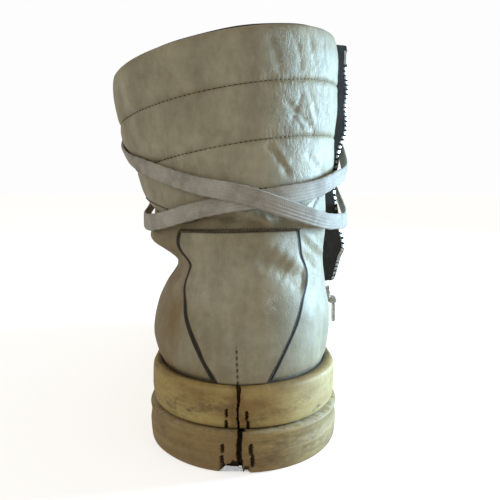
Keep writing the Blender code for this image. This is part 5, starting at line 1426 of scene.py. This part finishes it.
def make_lace_bars(finish):
    """A flat lace over the throat at each pair of eyelets but the top, its ends diving through them."""
    lift = PANEL_GAP + PANEL_THICKNESS + CLEARANCE * 3.2 + EYELET_SEAT + EYELET_HEIGHT + LACE_THICKNESS / 2
    half = np.array([*np.linspace(0, 0.90, 26), 0.93, 0.955, 0.975, 0.988, 0.996, 1.0, 1.0])
    dive = np.array([*np.zeros(26), 0.0, 0.0002, 0.0007, 0.0015, 0.0026, 0.0036, 0.0042])
    share, dive = np.concatenate([-half[:0:-1], half]), np.concatenate([dive[:0:-1], dive])
    lateral, medial = eyelet_places(-1.0), eyelet_places(1.0)
    places = (lateral[0] + medial[0]) / 2
    seats = np.maximum(lateral[2], medial[2])
    runs = unit(np.gradient(places, axis=0) * (0.0, 1.0, 1.0))
    for i, level in enumerate(eyelet_levels()[:-1]):
        turns, levels = straight_across(share, level, runs[i], places[i])
        wave = 0.00022 * np.sin(share * 7 + i * 2) * (1 - share**2)
        line, normals = lined(turns, levels, lift + seats[i] + wave - dive)
        widths = LACE_WIDTH - 0.0034 * ease(np.abs(share), 0.72, 0.95)
        normals = normals + 0.10 * np.sin(share * 4 + i)[:, None] * runs[i]
        normals[0], normals[1] = normals[2], normals[2]
        normals[-1], normals[-2] = normals[-3], normals[-3]
        for k in (0, 1, 2, 3, 4, -5, -4, -3, -2, -1):
            steep = min(1.0, dive[k] / 0.0015)  # over the eyelet's edge the lace faces across the throat
            normals[k] += steep * 1.6 * np.array([np.sign(share[k]), 0, 0])
        ribbon(f"lace_across_{i + 1}", line, normals, widths, LACE_THICKNESS, finish, (f"lace_bar_{i + 1}",))


def make_ankle_laces(finish):
    """Two laces from the top eyelets round the back of the ankle, one over the other where they cross."""
    over = CUFF_PUFF + PANEL_GAP + CLEARANCE + LACE_THICKNESS / 2 + LACE_STAND
    top = float(eyelet_levels()[-1])
    ends = {side: float(throat_turn(top, side, EYELET_LINE)) for side in (-1.0, 1.0)}
    for name, places, higher in (("over", WRAP_OVER, 1.0), ("under", WRAP_UNDER, 0.0)):
        knots, heights, stands = np.array(places).T
        shift = 0.0012 if higher else -0.0012
        knots = np.concatenate([[ends[-1.0]], knots, [ends[1.0]]])
        heights = np.concatenate([[top + shift], heights, [top + shift]])
        stands = np.concatenate([[0.0], stands, [0.0]])
        turns = np.concatenate([[knots[0]] * 2, np.linspace(knots[0], knots[-1], 300), [knots[-1]] * 2])
        lift = higher * (0.0002 + 0.0014 * ease(turns, -0.14, -0.05) * (1 - ease(turns, 0.17, 0.27)))
        front = ease(np.abs(turns), 0.58, 0.66) * (1 - ease(np.abs(turns), 0.76, 0.79))
        lift = lift + higher * 0.0016 * front
        low = ease(np.abs(turns), 0.70, 0.79)
        to_eyelet = np.minimum(np.abs(turns - knots[0]), np.abs(turns - knots[-1]))
        dive = 0.0030 * low + 0.0030 * (1 - ease(to_eyelet, 0.0, 0.012))
        dive[0], dive[1] = dive[2] + 0.0016, dive[2] + 0.0008
        dive[-1], dive[-2] = dive[-3] + 0.0016, dive[-3] + 0.0008
        levels = smooth(knots, heights, turns) + 0.00025 * np.sin(turns * 21 + higher)
        line, normals = lined(turns, levels, over + lift + smooth(knots, stands, turns) - dive)
        lean = 0.16 * np.sin(turns * 9 + 1 + higher * 2) + 0.05 * np.sin(turns * 23)
        normals = normals + lean[:, None] * np.array([0.0, 0.0, 1.0])
        widths = LACE_WIDTH * (1 + 0.05 * np.sin(turns * 13 + higher))
        widths = widths - 0.0040 * (1 - ease(to_eyelet, 0.01, 0.06))
        stains_and_shade = 0.30 + 0.30 * np.sin(turns * 19 + higher) ** 2
        ribbon(f"ankle_lace_{name}", line, normals, widths, LACE_THICKNESS, finish, ("ankle_laces",), stains_and_shade)


# Zip


def tape_edge(level):
    knots = (ZIP_BOTTOM_LEVEL, 0.0665, 0.074, 0.082, 0.090, 0.0975, 0.104, 0.118, 0.128, 0.1365, 0.150,
             COLLAR_HEIGHT)
    shares = (0.0, 0.34, 0.72, 1.02, 1.10, 0.84, 0.58, 0.54, 0.68, 0.95, 0.96, 0.96)
    return smooth(knots, np.array(shares) * TAPE_FLARE, level)


def zip_points(levels, towards, columns, flare, sides):
    """Points of a strip along the zip's slit, one grid for each distance from its middle face."""
    columns = [(*column, 0.0)[:4] for column in columns]
    levels = np.asarray(levels, float)
    behind = -WALL - CLEARANCE - TAPE_THICKNESS / 2
    free = np.minimum(TAPE_FREE, zip_half(levels) - TEETH_WIDTH - 0.0009)
    back = np.stack([-(share * free + past) for share, past, _, _ in columns], 1)
    ripple = 0.00035 * np.sin(levels * 2 * np.pi / 0.017) * ease(levels, 0.075, 0.09)
    edge = flare * tape_edge(levels)
    turned = np.clip(edge / TAPE_FLARE / 0.6, 0, 1)
    out = np.stack([behind + (edge + ripple - behind) * c[2] + c[3] * turned for c in columns], 1)
    run, climb = np.gradient(back, axis=1), np.gradient(out, axis=1)
    steep = np.hypot(run, climb)
    made = []
    for side in sides:
        turns = zip_turn(levels[:, None], towards, back + side * climb / steep)
        made.append(skin(turns, levels[:, None] + 0 * back, out - side * run / steep))
    return made


def teeth_reach(shares):
    """Columns for zip_points from the tape's edge to the tips of the teeth."""
    return [(1.0, 0.0003 + TEETH_WIDTH * 0.55 * s, 1.0, TEETH_WIDTH * 0.85 * s) for s in shares]


def make_zips(tape_finish, metal_finish):
    bottom = SLIDER_LEVEL + SLIDER_HEIGHT / 2 + 0.0030
    top = COLLAR_HEIGHT - STOP_HEIGHT - 0.0030
    knots = ((0.0, -TAPE_TUCK, 0.0), (0.0, -0.0003, 0.0), (0.20, 0.0, 0.0), (1.0, -0.0005, 1.0))
    at = np.concatenate([np.linspace(0, 1, 5), np.linspace(1, 2, 5)[1:], np.linspace(2, 3, 13)[1:]])
    tape = [tuple(np.interp(a, range(4), [k[j] for k in knots]) for j in range(3)) for a in at]
    for word, towards, flare in (("rear", -1.0, 1.0), ("front", 1.0, 0.35)):
        levels = np.linspace(bottom, COLLAR_HEIGHT - 0.0012, 190)
        outer, inner = zip_points(levels, towards, tape, flare, (TAPE_THICKNESS / 2, -TAPE_THICKNESS / 2))
        marks = no_marks(outer.shape[:2])
        marks[..., 1] = 0.25
        run = np.cumsum(np.linalg.norm(np.diff(outer, axis=1, prepend=outer[:, :1]), axis=2), axis=1)
        thread = np.stack([np.broadcast_to(levels[:, None], run.shape), run], -1)
        if towards > 0:
            outer, inner, marks, thread = (grid[:, ::-1] for grid in (outer, inner, marks, thread))
        sheets = [Sheet(outer, inner, marks)]
        piece(f"zip_tape_{word}_woven", sheets, [tape_finish], (f"zip_tape_{word}",), thread=[thread])
        cord = [(1.0, 0.0003 + 0.55 * past, 1.0, 0.85 * past) for past in (0.0, 0.0009, 0.0019, 0.0023)]
        line = zip_points(levels, towards, cord, flare, (0.0,))[0]
        cords = [tube(line[:, k], 0.00082, 8) for k in (0, 1, 2)]
        loose(f"zip_cord_{word}", cords, [tape_finish], ())
        count = int(round((top - bottom) / TOOTH_PITCH))
        parts = []
        reach = teeth_reach((0.0, 0.30, 0.55, 0.80, 1.0))
        thick = np.array([0.86, 1.0, 0.92, 0.62, 0.50]) * TEETH_THICKNESS / 2
        tall = np.array([0.00066, 0.00074, 0.00062, 0.00080, 0.00062])
        for z in bottom + (np.arange(count) + 0.5) * (top - bottom) / count:
            outside, middle = zip_points([z], towards, reach, flare, (0.001, 0.0))
            ways = (outside[0] - middle[0]) / 0.001
            ups = unit(zip_points([z + 0.001], towards, reach, flare, (0.0,))[0][0] - middle[0])
            points, faces = [], [(3, 2, 1, 0), (16, 17, 18, 19)]
            for k in range(5):
                for a, b in ((1, 1), (-1, 1), (-1, -1), (1, -1)):
                    points.append(middle[0, k] + a * thick[k] * ways[k] + b * tall[k] * ups[k])
            for k in range(4):
                here, beyond = 4 * k, 4 * k + 4
                faces += [(here + m, here + (m + 1) % 4, beyond + (m + 1) % 4, beyond + m) for m in range(4)]
            if towards < 0:
                faces = [face[::-1] for face in faces]
            parts.append((points, faces))
        loose(f"zip_teeth_{word}_metal", parts, [metal_finish], (f"zip_teeth_{word}",), sharp=30)
        stop = np.linspace(top + 0.0006, top + STOP_HEIGHT - 0.0002, 13)
        reach = teeth_reach(np.linspace(0, 1, 7))
        full = np.sqrt(np.clip(1 - np.linspace(-1, 1, 13)[:, None] ** 6, 0, 1)) * np.sqrt(
            np.clip(1 - np.linspace(-1, 1, 7)[None] ** 4 * 0.75, 0, 1))
        high, low = zip_points(stop, towards, reach, flare, (TEETH_THICKNESS / 2, -TEETH_THICKNESS / 2))
        half = (high - low) / 2 * (0.25 + 0.75 * full)[..., None]
        centre, marks = (high + low) / 2, no_marks(full.shape)
        outer, inner = centre + half, centre - half
        if towards > 0:
            outer, inner = outer[:, ::-1], inner[:, ::-1]
        sheets = [Sheet(outer, inner, marks)]
        piece(f"zip_stop_{word}_metal", sheets, [metal_finish], (f"zip_stop_{word}",))


def slider_base():
    levels = np.linspace(SLIDER_LEVEL - SLIDER_HEIGHT / 2, SLIDER_LEVEL + SLIDER_HEIGHT / 2, 5)
    levels, ahead = np.meshgrid(levels, np.linspace(-SLIDER_WIDTH / 2, SLIDER_WIDTH / 2, 5))
    near = skin(turn_at(zip_middle(levels) + ahead, levels), levels, np.zeros(levels.shape))
    back = float(zip_middle(SLIDER_LEVEL)) - HEEL_SETBACK
    return np.array([near[..., 0].max() + CLEARANCE, back, SLIDER_LEVEL])


def plate(outline, layers, hole=None):
    """A bevelled plate in the Y-Z plane: layers are (x, inset) from its back to its front."""
    outline = np.asarray(outline, float)
    middle = outline.mean(0)
    size = np.abs(outline - middle).max()
    rings = [np.insert((outline - middle) * (1 - inset / size) + middle, 0, x, axis=1) for x, inset in layers]
    count, points = len(outline), np.concatenate(rings)
    faces = []
    for r in range(len(rings) - 1):
        for i in range(count):
            j = (i + 1) % count
            faces.append((r * count + i, r * count + j, (r + 1) * count + j, (r + 1) * count + i))
    if hole is None:
        faces += [tuple(reversed(range(count))), tuple(range((len(rings) - 1) * count, len(rings) * count))]
        return points, faces
    hole = np.asarray(hole, float)
    base = len(points)
    points = np.concatenate([points, *(np.insert(hole, 0, x, axis=1) for x in (layers[0][0], layers[-1][0]))])
    last = (len(rings) - 1) * count
    for i in range(count):
        j = (i + 1) % count
        faces.append((j, i, base + i, base + j))
        faces.append((last + i, last + j, base + count + j, base + count + i))
        faces.append((base + j, base + i, base + count + i, base + count + j))
    return points, faces


def rounded(y, z, width, height, corner, count=8, foot=1.0):
    """A rounded rectangle's outline, anticlockwise seen from +X; foot narrows its lower end."""
    points = []
    for number, (sy, sz) in enumerate(((1, 1), (-1, 1), (-1, -1), (1, -1))):
        for angle in (number + np.linspace(0, 1, count)) * np.pi / 2:
            dy = sy * (width / 2 - corner) + corner * math.cos(angle)
            dz = sz * (height / 2 - corner) + corner * math.sin(angle)
            narrow = foot + (1 - foot) * (dz / height + 0.5)
            points.append((y + dy * narrow, z + dz))
    return points


def make_slider_and_pull(finish):
    base = slider_base()
    low = SLIDER_LEVEL - SLIDER_HEIGHT / 2 + EAR_HEIGHT / 2
    pin = np.array([base[0] + SLIDER_THICKNESS + PIN_OUT, base[1], low])
    shape = rounded(base[1], base[2], SLIDER_WIDTH, SLIDER_HEIGHT, 0.0022, foot=0.70)
    x, t = base[0], SLIDER_THICKNESS
    shell = [(x, 0.0005), (x + 0.0003, 0.0001), (x + 0.0009, 0.0), (x + 0.0010, 0.0007), (x + 0.0019, 0.0007),
             (x + 0.0020, 0.0), (x + t - 0.0004, 0.0001), (x + t, 0.0006)]
    gap = PULL_WIDTH * 0.5 + PULL_PLAY
    parts = [plate(shape, shell)]
    for side in (-1.0, 1.0):
        near = base[1] + side * (gap + EAR_THICKNESS * 0.5)
        angles = np.linspace(-np.pi / 2, np.pi / 2, 12)
        rim = [(x + t - 0.0004, pin[2] - EAR_HEIGHT / 2 + 0.0001)]
        for a in angles:
            rim.append((pin[0] + 0.0001 + 0.00118 * math.cos(a), pin[2] + EAR_HEIGHT * 0.46 * math.sin(a)))
        rim += [(x + t - 0.0004, pin[2] + EAR_HEIGHT / 2 - 0.0001)]
        points = [(px, near + way * EAR_THICKNESS / 2, pz) for way in (-1, 1) for px, pz in rim]
        count = len(rim)
        faces = [tuple(range(count)), tuple(reversed(range(count, 2 * count)))]
        faces += [((i + 1) % count, i, i + count, (i + 1) % count + count) for i in range(count)]
        parts.append((points, faces))
    reach = gap + EAR_THICKNESS * 0.9
    ends = np.linspace(pin - (0, reach, 0), pin + (0, reach, 0), 5)
    parts.append(tube(ends, PIN_RADIUS, 20))
    loose("zip_slider_metal", parts, [finish], ("zip_slider",), sharp=28)

    half = PULL_THICKNESS / 2
    bore, round_ = PIN_RADIUS + PULL_PLAY, KNUCKLE_RADIUS
    points, faces = [], []
    angles = np.arange(28) * 2 * np.pi / 28
    wide = PULL_WIDTH / 2
    rims = ((bore, -wide), (round_ - 0.0002, -wide), (round_, -wide + 0.0002), (round_, wide - 0.0002),
            (round_ - 0.0002, wide), (bore, wide))
    for angle in angles:
        points += [(pin[0] + r * math.cos(angle), pin[1] + y, pin[2] + r * math.sin(angle)) for r, y in rims]
    for i in range(28):
        j = (i + 1) % 28
        faces += [(i * 6 + k, i * 6 + (k + 1) % 6, j * 6 + (k + 1) % 6, j * 6 + k) for k in range(6)]
    long = PULL_LENGTH - 0.0012
    middle = pin[2] - 0.0012 - long / 2
    outside = rounded(pin[1], middle, PULL_WIDTH, long, 0.0017)
    slot = rounded(pin[1], middle - 0.0014, PULL_WIDTH - 0.0024, long - 0.0052, 0.0009)
    x = pin[0]
    layers = [(x - half, 0.0002), (x - half * 0.6, 0.0), (x + half * 0.6, 0.0), (x + half, 0.0002)]
    loose("zip_pull_tab", [(points, faces), plate(outside, layers, slot)], [finish], ("zip_pull",),
          body="zip_pull", sharp=32)


# Floor, light and camera


def area_light(name, place, aim, power, size, colour):
    lamp = bpy.data.lights.new(name, "AREA")
    lamp.energy, lamp.size, lamp.color = power, size, colour
    thing = bpy.data.objects.new(name, lamp)
    way = np.array(aim, float) - place
    thing.location = place
    thing.rotation_euler = (
        math.acos(-way[2] / np.linalg.norm(way)), 0, math.atan2(way[1], way[0]) - math.pi / 2)
    bpy.context.scene.collection.objects.link(thing)


# Lights: place, aim, watts, size and colour; then the camera
KEY = (0.98, 0.35, 0.17), (0.0, 0.0, 0.09), 26.5, 0.36, (0.49, 0.76, 1.0)
FILL = (-0.85, -0.75, 0.55), (0.0, 0.0, 0.09), 0.7, 0.9, (1.0, 0.93, 0.82)
SKY, SKY_STRENGTH, BACKDROP = (1.0, 0.955, 0.86, 1), 0.40, (0.985, 0.985, 0.985, 1)
CAMERA_PLACE, CAMERA_LENS, CAMERA_SENSOR, CAMERA_SHIFT = (0.0033, -0.310, 0.1195), 45.6, 36.0, -0.132


def make_set():
    f = Finish("pale_floor", 0.9, Specular_IOR_Level=0.1, Emission_Color=(1, 1, 1, 1), Emission_Strength=0.66)
    f.done((0.86, 0.86, 0.855))
    mesh = bpy.data.meshes.new("floor")
    mesh.from_pydata([(-6, -6, 0), (6, -6, 0), (6, 6, 0), (-6, 6, 0)], [], [(0, 1, 2, 3)])
    mesh.materials.append(f.material)
    floor = bpy.data.objects.new("floor", mesh)
    bpy.context.scene.collection.objects.link(floor)
    floor.visible_diffuse = floor.visible_glossy = False
    world = bpy.data.worlds.new("studio")
    bpy.context.scene.world = world
    world.use_nodes = True
    tree = world.node_tree
    tree.nodes.clear()
    ray = tree.nodes.new("ShaderNodeLightPath")
    soft, seen = tree.nodes.new("ShaderNodeBackground"), tree.nodes.new("ShaderNodeBackground")
    soft.inputs["Color"].default_value, soft.inputs["Strength"].default_value = SKY, SKY_STRENGTH
    seen.inputs["Color"].default_value, seen.inputs["Strength"].default_value = BACKDROP, 1.0
    mix, out = tree.nodes.new("ShaderNodeMixShader"), tree.nodes.new("ShaderNodeOutputWorld")
    for a, b in ((ray.outputs["Is Camera Ray"], mix.inputs[0]), (soft.outputs[0], mix.inputs[1]),
                 (seen.outputs[0], mix.inputs[2]), (mix.outputs[0], out.inputs["Surface"])):
        tree.links.new(a, b)
    area_light("key", *KEY)
    area_light("fill", *FILL)
    camera = bpy.data.cameras.new("camera")
    camera.lens, camera.sensor_width, camera.shift_y = CAMERA_LENS, CAMERA_SENSOR, CAMERA_SHIFT
    eye = bpy.data.objects.new("camera", camera)
    eye.location, eye.rotation_euler = CAMERA_PLACE, (math.radians(90), 0, 0)
    camera.clip_start = 0.01
    bpy.context.scene.collection.objects.link(eye)
    bpy.context.scene.camera = eye
    bpy.context.scene.view_settings.view_transform = "Standard"


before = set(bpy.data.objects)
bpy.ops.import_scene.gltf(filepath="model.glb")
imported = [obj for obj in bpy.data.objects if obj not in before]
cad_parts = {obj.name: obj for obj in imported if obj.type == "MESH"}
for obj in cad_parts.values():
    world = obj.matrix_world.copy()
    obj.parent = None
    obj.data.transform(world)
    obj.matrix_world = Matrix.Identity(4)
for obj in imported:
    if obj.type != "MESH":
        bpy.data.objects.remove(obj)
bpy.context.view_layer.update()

LEATHER, LINING = leather(), lining()
UPPER_RUBBER = rubber("rubber_upper_band", (0.500, 0.370, 0.125), (0.740, 0.590, 0.260), 0.45)
LOWER_RUBBER = rubber("rubber_lower_band", (0.325, 0.226, 0.082), (0.530, 0.405, 0.190), 0.85)
LACE = woven("lace_cotton", (0.590, 0.565, 0.505), (0.740, 0.715, 0.660), 0.00135, 0.00090, 0.00010)
TAPE = woven("zip_tape_cloth", (0.012, 0.015, 0.020), (0.030, 0.036, 0.045), 0.00060, 0.00055, 0.00008)
TARNISHED = metal("tarnished_nickel", (0.420, 0.410, 0.385), (0.840, 0.830, 0.810), 0.28)
TEETH = metal("zip_teeth_nickel", (0.460, 0.450, 0.430), (0.820, 0.810, 0.790), 0.26)
RAW_EDGE = thread_finish("raw_edge", (0.022, 0.018, 0.014), (0.060, 0.048, 0.034))
CORD = thread_finish("edge_cord", (0.050, 0.038, 0.024), (0.200, 0.150, 0.095))
DULL_THREAD = thread_finish("dull_thread", (0.200, 0.180, 0.125), (0.330, 0.300, 0.215))
PALE_THREAD = thread_finish("pale_thread", (0.360, 0.335, 0.260), (0.520, 0.490, 0.400))
HOLE = thread_finish("hole_shade", (0.012, 0.010, 0.008), (0.022, 0.018, 0.014))

make_outsole(LOWER_RUBBER)
make_midsole(UPPER_RUBBER)
make_insole(footbed())
make_shell([LEATHER, LINING])
make_overlay_edges(RAW_EDGE)
make_cuffs(LEATHER)
make_counter(LEATHER, RAW_EDGE, CORD)
make_eyestays(LEATHER)
make_tongue([LEATHER, LINING])
make_lining(LINING)
make_stitches(DULL_THREAD, PALE_THREAD, HOLE)
make_eyelets(TARNISHED, HOLE)
make_lace_bars(LACE)
make_ankle_laces(LACE)
make_zips(TAPE, TEETH)
make_slider_and_pull(TARNISHED)
make_set()
